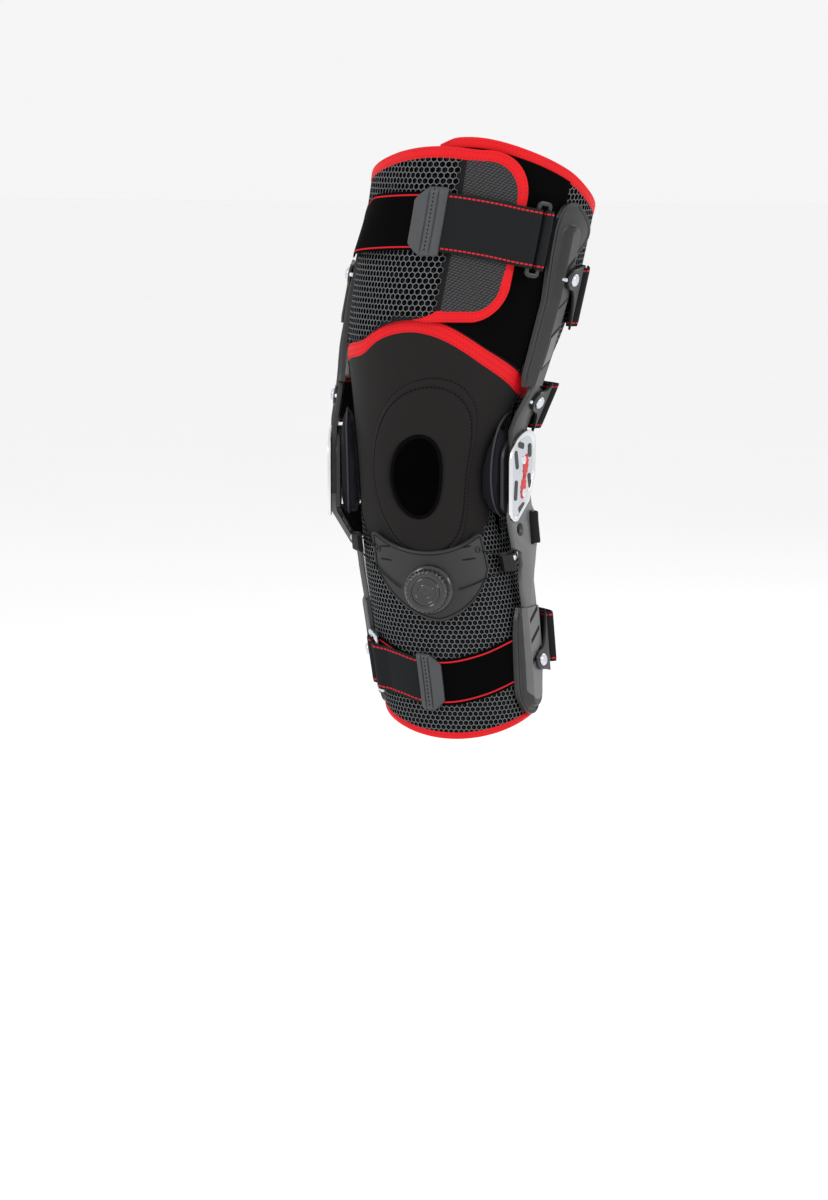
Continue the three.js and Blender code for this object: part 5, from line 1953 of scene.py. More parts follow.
class SideGeometry:
    """Frame of one side: out, back and up from its hinge."""

    def __init__(self, side: Side) -> None:
        """Sets up the axes and the bars' middle lines.

        Args:
            side: side of the limb.
        """
        sign = self.sign = side.sign
        out = Vector((sign * math.sin(HINGE_FACE), -math.cos(HINGE_FACE), 0))
        back = Vector((sign * math.cos(HINGE_FACE), math.sin(HINGE_FACE), 0))
        axes = Matrix((out, back, Vector((0, 0, 1)))).transposed().to_4x4()
        local = Matrix.Translation((sign * HINGE_X[side], -10, 0)) @ axes
        self.inverse = local.inverted()
        self.world = Matrix.Scale(MM, 4) @ local
        tables = {True: UPPER_LINES[side], False: LOWER_LINES[side]}
        self.lines = {upper: (column(table, 1), column(table, 2)) for upper, table in tables.items()}

    def line(self, upper: bool, z: float) -> Flat:
        """Out and back of a bar's middle line at a height."""
        outs, backs = self.lines[upper]
        return straight_value(outs, z), straight_value(backs, z)

    def seen(self, angle: float, z: float, depth: float) -> Vector:
        """Point of the limb, seen from the hinge."""
        return self.inverse @ Vector(LEG.flat_place(self.sign * angle, z, depth))

    def beside(self, back: float, z: float, depth: float) -> Vector:
        """Point of a layer of the limb that lies a given way back."""
        angle = last_true(10.0, 160.0, 20, lambda angle: self.seen(angle, z, depth).y <= back)
        return self.seen(angle, z, depth)

    def on_limb(self, place: Vector) -> PathPoint:
        """Angle round the limb and depth outside it.

        Args:
            place: point seen from the hinge.

        Returns:
            Station at the nearest place of the limb.
        """

        def away(angle: float) -> float:
            """Distance from the limb at an angle."""
            return (self.seen(angle, place.z, 0) - place).length

        low, high = 20.0, 160.0
        for _ in range(45):
            a, b = mix(low, high, 0.4), mix(low, high, 0.6)
            low, high = (low, b) if away(a) < away(b) else (a, high)
        return PathPoint(self.sign * low, away(low))

    def bracket_place(self, spec: BracketSpec) -> Matrix:
        """Place of a bracket on the outer face of its seat, leaning with the bar.

        Args:
            spec: the bracket.

        Returns:
            Its place, seen from the hinge.
        """
        out, back = self.line(spec.upper, spec.z)
        rise = 10
        above, below = self.line(spec.upper, spec.z + rise)[0], self.line(spec.upper, spec.z - rise)[0]
        seat = Vector((out + spec.seat + BRACKET_RISE, back + spec.back, spec.z))
        return Matrix.Translation(seat) @ Matrix.Rotation(math.atan2(above - below, 2 * rise), 4, "Y")

    def strap_bar(self, spec: BracketSpec, z: float) -> PathPoint:
        """Strap bar of a bracket, as angle and depth on the limb.

        Args:
            spec: the bracket.
            z: height on the bar.

        Returns:
            Station there.
        """
        reach = 1.5 * BRACKET_BAR + BRACKET_SLOT
        place = self.bracket_place(spec)
        out = -reach * math.sin(BRACKET_BEND) + BRACKET_THICK / 2 * math.cos(BRACKET_BEND)
        back = BRACKET_WEB + reach * math.cos(BRACKET_BEND)
        return self.on_limb(place @ Vector((out, back, (z - spec.z) / place.col[2].z)))

    def slot_bar(self, z: float) -> PathPoint:
        """Rear bar of the lower bar's strap slot at a height, as angle and depth on the limb."""
        out, back = self.line(False, z)
        return self.on_limb(Vector((out, back + (SLOT_EDGE + straight_value(BAR_BACKS[False], z)) / 2, z)))

    def set_in(self, bm: BMesh, matrix: Matrix = PLATE_AXES) -> BMesh:
        """Moves a mesh from this side's axes to the world.

        Args:
            bm: mesh in millimetres.
            matrix: its place, seen from the hinge.

        Returns:
            The same mesh.
        """
        bmesh.ops.transform(bm, matrix=self.world @ matrix, verts=bm.verts[:])
        bmesh.ops.recalc_face_normals(bm, faces=bm.faces[:])
        return bm


SIDES = {side: SideGeometry(side) for side in Side}


class Slot(NamedTuple):
    """Slanted slot on a shell's ridge: its span, its half width, its lift and its finish."""

    low: float
    high: float
    half: float
    lift: float
    finish: Finish


# The black slabs paint the shade inside the shells' slots and slanted grooves; the second upper slot is the
# bar seen through its window.
SHELL_SLOTS = {
    True: (
        Slot(88, 116, 5.6, 0.12, SLOT_BLACK),
        Slot(90, 113, 4.8, 0.24, BAR_METAL),
        Slot(166, 169.5, 5.4, 0.12, SLOT_BLACK),
        Slot(136, 138, 5.6, 0.12, SLOT_BLACK),
    ),
    False: (
        Slot(-112, -108.5, 7.4, 0.37, SLOT_BLACK),
        Slot(-128, -124.5, 7.6, 0.37, SLOT_BLACK),
        Slot(-144, -140.5, 7.6, 0.37, SLOT_BLACK),
    ),
}


@dataclass(frozen=True)
class SideShell:
    """Shell on the limb: beaded rim, rounded ridge over the bar, and slots set in the ridge."""

    side: Side
    upper: bool
    skin: float = 2.5
    bar_depth: float = 4.2
    cap: float = 1.5
    ridge_wall: float = 3.5
    ridge_limit: float = 9.5
    ridge_foot: float = 3.4
    end_round: float = 4.5
    rim_inset: float = 3.1
    groove_clear: float = 0.02
    slant: float = 0.65
    spine_round: float = -169.0
    spine_tip: float = 9.0

    @property
    def name(self) -> str:
        """Name of its solid."""
        return f"{self.side.value}_{'upper' if self.upper else 'lower'}_shell"

    @cached_property
    def heights(self) -> list[float]:
        """Heights from its lower to its upper end."""
        return spread(SHELLS[self.upper][0][0], SHELLS[self.upper][-1][0], 120)

    @cached_property
    def seats(self) -> list[Flat]:
        """Heights, and depths of its inner face.

        Returns:
            Table of both.
        """
        seats = []
        for z in self.heights:
            line = SIDES[self.side].line(self.upper, z)
            seats.append((z, SIDES[self.side].on_limb(Vector((*line, z))).depth - self.bar_depth))
        return seats

    def free(self, z: float) -> float:
        """Distance from the shell's free end."""
        return self.heights[-1] - z if self.upper else z - self.heights[0]

    @cache
    def edges(self, z: float) -> Flat:
        """Front and back edge, with their corners eased and the free end rounded.

        Args:
            z: height.

        Returns:
            Their ways back from the bar's line.
        """
        shifts = (-5, -2.5, 0, 2.5, 5)
        eased = []
        for index in (1, 2):
            table = column(SHELLS[self.upper], index)
            eased.append(sum(straight_value(table, z + shift) for shift in shifts) / len(shifts))
        narrow = 1 - min(self.free(z) / self.end_round, 1.0)
        wide = math.sqrt(1 - 0.9 * narrow * narrow)
        return tuple(mix(sum(eased) / 2, edge, wide) for edge in eased)

    def bead(self, rel: float, z: float) -> float:
        """Raised band along the rim, with a fine groove inside it.

        Args:
            rel: way back from the bar's line.
            z: height.

        Returns:
            Its rise.
        """
        front, back = self.edges(z)
        reach = min(rel - front, back - rel, self.free(z))
        return 0.5 * (1 - smooth_step(reach, 1.7, 2.5)) - 0.35 * dent(reach, 3.1, 0.6)

    def ridge_half(self, z: float) -> float:
        """Half width of the ridge."""
        return min(straight_value(BAR_BACKS[self.upper], z), self.ridge_limit) + self.ridge_wall

    def rise(self, rel: float, z: float) -> float:
        """Share of the ridge's height, which is rounded at the free end."""
        past = max(0.0, self.free(RIDGE_ENDS[self.upper]) + self.ridge_half(z) - self.free(z))
        return smooth_step(self.ridge_half(z) - math.hypot(rel, past), 0.0, self.ridge_foot)

    def surface(self, rel: float, z: float, lift: float = 0.0) -> Vector:
        """Point of the outer face, or of one raised from it.

        Args:
            rel: way back from the bar's line.
            z: height.
            lift: rise over the face.

        Returns:
            The point.
        """
        geometry = SIDES[self.side]
        line_out, line_back = geometry.line(self.upper, z)
        base = geometry.beside(line_back + rel, z, straight_value(self.seats, z) + self.skin).x
        ridge = max(line_out + BAR_HALF + self.cap, base)
        out = mix(base + self.bead(rel, z), ridge, self.rise(rel, z))
        return geometry.world @ Vector((out + lift, line_back + rel, z))

    def place(self, share: float, z: float, level: float) -> Vector:
        """Point of the shell.

        Args:
            share: share of its width.
            z: height.
            level: 1 on the outer face, 0 on the cloth.

        Returns:
            The point.
        """
        geometry = SIDES[self.side]
        rel = mix(*self.edges(z), share)
        if level:
            return self.surface(rel, z)
        back = geometry.line(self.upper, z)[1] + rel
        return geometry.world @ geometry.beside(back, z, straight_value(self.seats, z))

    def groove(self) -> None:
        """Makes a black line of painted shade in the groove inside the rim, as far as the ridge."""
        inside = [z for z in self.heights if self.free(z) > self.rim_inset]
        front = [(self.edges(z)[0] + self.rim_inset, z) for z in inside]
        back = [(self.edges(z)[1] - self.rim_inset, z) for z in inside]
        outline = front + back[::-1] if self.upper else front[::-1] + back
        # Black rope sunk into the bead's dent: painted shade in the groove.
        line = [self.surface(*spot, -0.12) for spot in outline if self.rise(*spot) < self.groove_clear]
        make_piece(f"{self.name}_groove", rope(line, 0.38, 6), SLOT_BLACK)

    def spine(self) -> None:
        """Makes the bar's face in the lower shell, rounded at its lower end."""

        def place(share: float, z: float, lift: float) -> Vector:
            """Point of the face."""
            tip = math.sqrt(1 - 0.97 * clamp((self.spine_round - z) / self.spine_tip) ** 2)
            return self.surface(share * 0.9 * self.ridge_half(z) * tip, z, lift)

        rows = spread(self.spine_round - self.spine_tip, self.heights[-1], 60)
        bm = slab(spread(-1, 1, 24), rows, place, (0.25, -0.4))
        make_piece(f"{self.name}_bar", bm, BAR_METAL, crease=50)

    def build(self) -> None:
        """Makes the shell, the painted shade line in its groove, its bar face and its slots."""
        bm = slab(spread(0, 1, 60), self.heights, self.place)
        bevel = make_piece(f"{self.name}_moulded", bm, SHELL_PLASTIC, self.name, crease=48).modifiers.new(
            "rounded_edges", "BEVEL"
        )
        bevel.width = 0.5 * MM
        bevel.segments = 2
        bevel.limit_method = "ANGLE"
        bevel.angle_limit = math.radians(40)
        bevel.harden_normals = False
        self.groove()
        if not self.upper:
            self.spine()
        slanted: Place = lambda rel, up, lift: self.surface(rel, up + self.slant * rel, lift)
        for index, slot in enumerate(SHELL_SLOTS[self.upper], 1):
            columns, rows = spread(-slot.half, slot.half, 18), spread(slot.low, slot.high, 8)
            # A black slot here is painted shade in the cut.
            bm = slab(columns, rows, slanted, (slot.lift, slot.lift - 0.5))
            make_piece(f"{self.name}_slot_{index}", bm, slot.finish)


@dataclass(frozen=True)
class SideHinge:
    """Hinge of one side: its case, its polished cover and the parts that show in the cover's recess."""

    side: Side
    cover: Flat = (2.3, 4.8)
    recess: float = 1.0
    inlay: float = 0.35
    pins: Flat = (13.0, -13.0)
    gears: Flat = (8.5, -8.5)
    gear_lean: float = -14.0
    slots: Sequence[tuple[float, ...]] = (
        (-14, 14, 5, 15, 12), (-6, 25, 10, 5, -14), (9, 20, 6, 11, 0), (-15, -10, 5, 16, -6),
        (-5, -24, 11, 4.5, 24), (9, -4, 5, 12, 14),
    )

    def outline(self, border: float, raised: float = 0.0) -> list[Flat]:
        """Outline of the hinge's plates, in back and up.

        Args:
            border: distance inside the cover's edge.
            raised: how much higher its lower end is.

        Returns:
            Points of the outline.
        """
        b = border
        low = (-24 + b, -27 + raised)
        line = [low, (-24 + b, 14)]
        line += bend(line[-1], (-22 + b, 32 - b), (4, 36 - b))
        line += bend(line[-1], (17 - b, 37 - b), (19 - b, 26 - b))
        line += [(18.6 - b, 8), (18 - b, 0), (13 - b, -10 + b * 0.5), (8 - b, -20 + b)]
        line.append((-12, -34 + b + raised))
        line += bend(line[-1], (-23 + b, -36 + b + raised), low)[:-1]
        return line

    def make(self, name: str, bm: BMesh, finish: Finish, replaces: str = "") -> None:
        """Makes a piece of the hinge from a mesh in its plane."""
        solid = f"{self.side.value}_{replaces}" if replaces else ""
        make_piece(f"{self.side.value}_{name}", SIDES[self.side].set_in(bm), finish, solid)

    def cover_parts(self) -> None:
        """Makes the polished cover with its recess, the inlay and the slots in it."""
        low, high = self.cover
        bm = outline_face(self.outline(0), low)
        top = raise_plate(bm, high - low)
        bmesh.ops.inset_region(bm, faces=[top], thickness=3.0, use_even_offset=True)
        bmesh.ops.inset_region(bm, faces=[top], thickness=0.25, depth=-self.recess, use_even_offset=True)
        self.make("cover_polished", soften(bm, 0.35, 30), SILVER, "hinge_cover")
        floor = high - self.recess
        self.make("cover_inlay", outline_plate(self.outline(4.2), floor, floor + self.inlay), STEEL)
        slots = []
        for back, up, wide, tall, lean in self.slots:
            part = outline_plate(rounded_rectangle(wide, tall, min(wide, tall) * 0.42), 0, 0.3)
            turn = Matrix.Rotation(math.radians(lean), 4, "Z")
            place = Matrix.Translation((back, up, floor + self.inlay)) @ turn
            bmesh.ops.transform(part, matrix=place, verts=part.verts[:])
            slots.append(part)
        self.make("cover_slots", joined(*slots), DARK_PLASTIC)

    def wheels(self) -> None:
        """Makes the two toothed wheels and the pins that show in the cover."""
        floor = self.cover[1] - self.recess
        teeth = []
        for middle in self.gears:
            ring = []
            for index in range(48):
                way = math.tau * index / 48
                reach = 9.6 if index % 4 in (0, 1) else 8.0
                ring.append((reach * math.cos(way) * 0.45, middle + reach * math.sin(way)))
            part = outline_plate(ring, floor + 0.35, floor + 0.75)
            lean = Matrix.Rotation(math.radians(self.gear_lean), 3, "Z")
            bmesh.ops.rotate(part, verts=part.verts[:], cent=(0, 0, 0), matrix=lean)
            teeth.append(part)
        self.make("hinge_gears", joined(*teeth), RED_PLASTIC)
        profile = [(0, 1.0), (2.6, 0.95), (3.4, 0.7), (3.6, 0.3), (3.6, 0), (0, 0)]
        caps = [lathe(profile, Matrix.Translation((-1.0, z, floor)), 24) for z in self.pins]
        self.make("hinge_pins", joined(*caps), SILVER)

    def build(self) -> None:
        """Makes the cover, the wheels, the core and the case with its pins."""
        self.cover_parts()
        self.wheels()
        core = outline_plate(self.outline(8.0, 5.0), CASE[1] + GAP, self.cover[0] - GAP)
        self.make("hinge_core", core, DARK_PLASTIC)
        case = soften(outline_plate(self.outline(0, 6.0), *CASE), 0.4, 30)
        profile = [(0, CASE[0] + 1), (4, CASE[0] + 1), (4, BAR_HALF), (0, BAR_HALF)]
        pins = [lathe(profile, Matrix.Translation((0, z, 0)), 24) for z in self.pins]
        self.make("case_moulded", joined(case, *pins), DARK_PLASTIC, "hinge_case")


RIVET = (
    (0, 0), (5, 0), (5.0, 0.7), (4.7, 1.3), (3.9, 2.0), (2.6, 2.4), (2.2, 2.45), (2.0, 2.15), (0, 2.1),
)
STOP_PIN = ((0, -2.5), (1.6, -2.5), (1.6, 0.9), (1.2, 1.4), (0, 1.6))
STOP_PIN_BACK = -9.9


@dataclass(frozen=True)
class StrapBracket:
    """Swivel bracket: ear on its rivet, line of its bent frame, and the rivet."""

    side: Side
    spec: BracketSpec

    def lug(self) -> BMesh:
        """Ear round the rivet, widened to the bent frame.

        Returns:
            Mesh on the bracket's axes.
        """
        rivet, half = self.spec.rivet, self.spec.length / 2
        turns = [math.radians(way) for way in spread(90, 270, 20)]
        ear = [(BRACKET_EAR * math.cos(turn), rivet + BRACKET_EAR * math.sin(turn)) for turn in turns]
        reach = BRACKET_WEB + BRACKET_BAR / 2
        low = (reach, min(4 - half, rivet - 1.3 * BRACKET_EAR))
        high = (reach, max(half - 4, rivet + 1.3 * BRACKET_EAR))
        line = ear + bend(ear[-1], (0.72 * reach, rivet - 1.1 * BRACKET_EAR), low)
        line += [high] + bend(high, (0.72 * reach, rivet + 1.1 * BRACKET_EAR), ear[0])[:-1]
        bm = soften(outline_plate(line, 0, BRACKET_THICK), 0.4, 40)
        bmesh.ops.transform(bm, matrix=PLATE_AXES, verts=bm.verts[:])
        return bm

    def frame(self) -> BMesh:
        """Line of the bent frame, which has no faces: the inset leaves out a lone face's own edges.

        Returns:
            Loose edges on the bracket's axes.
        """
        wide = 2 * BRACKET_BAR + BRACKET_SLOT
        bm = outline_face(rounded_rectangle(wide, self.spec.length, 3), 0)
        middle = bm.faces[:]
        bmesh.ops.inset_region(bm, faces=middle, thickness=BRACKET_BAR, use_even_offset=False)
        bmesh.ops.delete(bm, geom=middle, context="FACES_ONLY")
        bmesh.ops.translate(bm, vec=(0, 0, BRACKET_THICK), verts=thickened(bm))
        bmesh.ops.recalc_face_normals(bm, faces=bm.faces[:])
        soften(bm, 0.5, 40)
        bent = Matrix.Translation((0, BRACKET_WEB, 0)) @ Matrix.Rotation(BRACKET_BEND, 4, "Z")
        matrix = bent @ Matrix.Translation((0, wide / 2, 0)) @ PLATE_AXES
        bmesh.ops.transform(bm, matrix=matrix, verts=bm.verts[:])
        return bm

    def build(self) -> None:
        """Makes the bracket, its rivet and, on the upper bar, its stop pin."""
        geometry = SIDES[self.side]
        name = f"{self.side.value}_{self.spec.name}"
        place = geometry.bracket_place(self.spec)
        whole = geometry.set_in(joined(self.lug(), self.frame()), place)
        make_piece(f"{name}_bracket_moulded", whole, SHELL_PLASTIC, f"{name}_bracket")
        plane = place @ PLATE_AXES
        seat = Matrix.Translation((0, self.spec.rivet, BRACKET_THICK + GAP))
        rivet = geometry.set_in(lathe(RIVET, seat, 32), plane)
        make_piece(f"{name}_rivet_turned", rivet, STEEL, f"{name}_rivet")
        if self.spec.upper:
            seat = Matrix.Translation((STOP_PIN_BACK, self.spec.rivet, 0))
            make_piece(f"{name}_stop_pin", geometry.set_in(lathe(STOP_PIN, seat, 20), plane), STEEL)


@dataclass(frozen=True)
class Swelling:
    """Short cloth simulation that swells a pad from inside."""

    voxel: float = 0.004
    pressure: float = 4.0
    frames: int = 20
    limit: float = 0.0008

    def apply(self, pad: Piece) -> None:
        """Swells the pad and keeps the result as its mesh.

        Args:
            pad: closed pad at the world's origin.
        """
        scene = bpy.context.scene
        remesh = pad.modifiers.new("even_faces", "REMESH")
        remesh.mode = "VOXEL"
        remesh.voxel_size = self.voxel
        self.bake(pad)
        start = [vert.co.copy() for vert in pad.data.vertices]
        cloth = pad.modifiers.new("swelling", "CLOTH")
        cloth.settings.use_pressure = True
        cloth.settings.uniform_pressure_force = self.pressure
        cloth.settings.effector_weights.gravity = 0.0
        cloth.point_cache.frame_start = 1
        cloth.point_cache.frame_end = self.frames
        for step in range(1, self.frames + 1):
            scene.frame_set(step)
        self.bake(pad)
        scene.frame_set(1)
        for vert, before in zip(pad.data.vertices, start):
            move = vert.co - before
            if move.length > self.limit:
                vert.co = before + move * (self.limit / move.length)
        pad.data.polygons.foreach_set("use_smooth", [True] * len(pad.data.polygons))

    def bake(self, pad: Piece) -> None:
        """Keeps what the modifiers make and removes them.

        Args:
            pad: pad, whose mesh is exchanged.
        """
        depsgraph = bpy.context.evaluated_depsgraph_get()
        made = bpy.data.meshes.new_from_object(pad.evaluated_get(depsgraph))
        pad.modifiers.clear()
        old = pad.data
        finish = old.materials[0]
        pad.data = made
        if not made.materials:
            made.materials.append(finish)
        bpy.data.meshes.remove(old)


@dataclass(frozen=True)
class CondylePad:
    """Soft pad between the hinge and the cloth, with piping round it."""

    side: Side
    clear: float = 0.6
    slim: float = 0.5
    thick: float = 23.0
    z: float = 9.0
    back: float = -3.0
    half_width: float = 24.0
    half_height: float = 42.0
    square: float = 2.6

    def faces(self, back: float, z: float, slim: float) -> Flat:
        """Outer and inner plane of the pad.

        Args:
            back: way back from the hinge.
            z: height.
            slim: distance that it is slimmer all round.

        Returns:
            Their ways out from the hinge.
        """
        geometry = SIDES[self.side]
        plane = min(0.0, geometry.line(True, max(z, 0.0))[0]) + CASE[0] - self.clear - slim
        limb = geometry.beside(back, z, CALF_MESH + self.clear + slim).x
        return plane, max(limb, plane - self.thick)

    def place(self, u: float, v: float, level: float) -> Vector:
        """Point of the pad, which is crowned on both faces.

        Args:
            u: share of its width.
            v: share of its height.
            level: 1 on the outer face, 0 on the inner one.

        Returns:
            The point.
        """
        up = (2 * v - 1) * 0.992
        z = self.z + (self.half_height - self.slim) * up
        wide = (self.half_width - self.slim) * (1 - abs(up) ** self.square) ** (1 / self.square)
        back = self.back + (2 * u - 1) * wide
        plane, inner = self.faces(back, z, self.slim)
        soft = (plane - inner) * 0.26 * max(abs(2 * u - 1), abs(up)) ** 5
        out = plane - 0.45 * soft if level else inner + 0.3 * soft
        return SIDES[self.side].world @ Vector((out, back, z))

    def build(self) -> None:
        """Makes the pad, swollen by a short cloth simulation, and its piping."""
        name = f"{self.side.value}_pad"
        bm = slab(spread(0, 1, 20), spread(0, 1, 34), self.place)
        pad = make_piece(f"{name}_soft", bm, PAD_CLOTH, f"{self.side.value}_condyle_pad", crease=180)
        Swelling().apply(pad)
        smooth = pad.modifiers.new("smooth", "SUBSURF")
        smooth.levels = smooth.render_levels = 1
        line = []
        for way in spread(0, math.tau, 90)[:-1]:
            z = self.z + (self.half_height - 0.3) * signed_power(math.sin(way), 2 / self.square)
            back = self.back + (self.half_width - 0.3) * signed_power(math.cos(way), 2 / self.square)
            out = mix(*self.faces(back, z, 0.0), 0.36)
            line.append(SIDES[self.side].world @ Vector((out, back, z)))
        make_piece(f"{name}_piping", rope(line, 0.9, 8, ring=True), PIPING)


@dataclass(frozen=True)
class SideFrame:
    """Bars, shells, hinge, pad and brackets of one side."""

    side: Side
    bar_round: float = 0.45

    def bar(self, node: str, finish: Finish) -> None:
        """Makes a copy of a packed bar with its edges rounded.

        Args:
            node: name of its solid.
            finish: finish of the bar.
        """
        solid = bpy.data.objects[node]
        bm = bmesh.new()
        bm.from_mesh(solid.data)
        bmesh.ops.transform(bm, matrix=solid.matrix_world, verts=bm.verts[:])
        bmesh.ops.remove_doubles(bm, verts=bm.verts[:], dist=1e-6)
        bmesh.ops.dissolve_limit(bm, angle_limit=math.radians(1), verts=bm.verts[:], edges=bm.edges[:])
        bmesh.ops.recalc_face_normals(bm, faces=bm.faces[:])
        make_piece(f"{node}_finished", soften(bm, self.bar_round * MM), finish, node)

    def build(self) -> None:
        """Makes the frame half from its bars outwards."""
        self.bar(f"{self.side.value}_upper_bar", SHELL_PLASTIC)
        self.bar(f"{self.side.value}_lower_bar", BAR_METAL)
        parts = [SideShell(self.side, True), SideShell(self.side, False), SideHinge(self.side)]
        parts += [StrapBracket(self.side, spec) for spec in BRACKETS]
        for part in [*parts, CondylePad(self.side)]:
            part.build()


BACK_BASE = CALF_MESH + STRAP_GAP + WEBBING


@dataclass(frozen=True)
class BackStrap:
    """Strap behind the limb, taut between a bar on each side, with its ends folded back over it."""

    name: str
    z: float
    width: float
    bar_at: Callable[[Side, float], PathPoint]
    bar_radius: float
    finish: Finish
    ends: tuple[float, ...] = (6, 14, 24)

    @property
    def radius(self) -> float:
        """Radius of the strap round its bars."""
        return self.bar_radius + RING_GAP + WEBBING / 2

    @property
    def limb_radius(self) -> float:
        """Radius of the limb under the strap."""
        return LEG.level(self.z)[4]

    def height(self, row: float) -> float:
        """Height for a share across the strap."""
        return self.z + (row - 0.5) * self.width

    def rise(self, bar_depth: float, away: float) -> float:
        """Lift of the taut strap near one of its bars.

        Args:
            bar_depth: depth of the bar.
            away: angle away from it.

        Returns:
            Lift over the cloth.
        """
        limb = self.limb_radius
        touch = math.acos(limb / (limb + max(bar_depth - self.radius - BACK_BASE, 0.0)))
        return limb / math.cos(max(0.0, touch - math.radians(away))) - limb

    def path_at(self, row: float) -> list[PathPoint]:
        """Path of one row of the webbing.

        Args:
            row: share across the strap.

        Returns:
            The path from one folded end to the other.
        """
        lateral, medial = (self.bar_at(side, self.height(row)) for side in Side)
        start, stop = lateral.angle, 360 + medial.angle

        def lift(angle: float) -> float:
            """Depth of the strap behind the limb."""
            return BACK_BASE + self.rise(lateral.depth, angle - start) + self.rise(medial.depth, stop - angle)

        def folded(angle: float, depth: float, turn: int) -> list[PathPoint]:
            """End that lies back over the strap.

            Args:
                angle: angle of its bar.
                depth: depth of its bar.
                turn: way that it lies.

            Returns:
                Stations from the bar on.
            """
            made = []
            for step, away in enumerate(self.ends, 1):
                under = lift(angle + turn * away)
                crest = max(depth + self.radius - under, 0.0) * (1 - step / len(self.ends))
                made.append(PathPoint(angle + turn * away, under + max(crest, WEBBING + STRAP_GAP)))
            return made

        path = folded(start, lateral.depth, 1)[::-1]
        path += reversed(hairpin(start, lateral.depth, self.radius, self.limb_radius, -1))
        path += [PathPoint(angle, lift(angle)) for angle in spread(start, stop, 14)[1:-1]]
        path += hairpin(stop, medial.depth, self.radius, self.limb_radius, 1)
        return path + folded(stop, medial.depth, -1)

    def build(self) -> None:
        """Makes the strap."""
        bm = strap_mesh(self.path_at, self.width, lambda angle, row: self.height(row), self.limb_radius)
        make_piece(f"{self.name}_web", bm, self.finish, self.name, crease=55)


def back_straps() -> list[BackStrap]:
    """Straps that close the brace behind the limb.

    Returns:
        One for each pair of brackets, and the one at the upper calf.
    """
    bar_radius = math.hypot(BRACKET_BAR, BRACKET_THICK) / 2
    straps = []
    for spec in BRACKETS:
        bar_at = lambda side, z, spec=spec: SIDES[side].strap_bar(spec, z)
        name = f"{spec.name}_back_strap"
        straps.append(BackStrap(name, spec.z, spec.strap, bar_at, bar_radius, STRAP_CLOTH))
    slot_at = lambda side, z: SIDES[side].slot_bar(z)
    straps.append(BackStrap("calf_upper_back_strap", -42.5, 25.0, slot_at, BAR_HALF * 1.75, PLAIN_STRAP))
    return straps


def aimed(place: Vector, way: Vector, axis: str) -> Matrix:
    """Place whose named axis points a given way."""
    return Matrix.Translation(place) @ way.to_track_quat(axis, "Y").to_matrix().to_4x4()


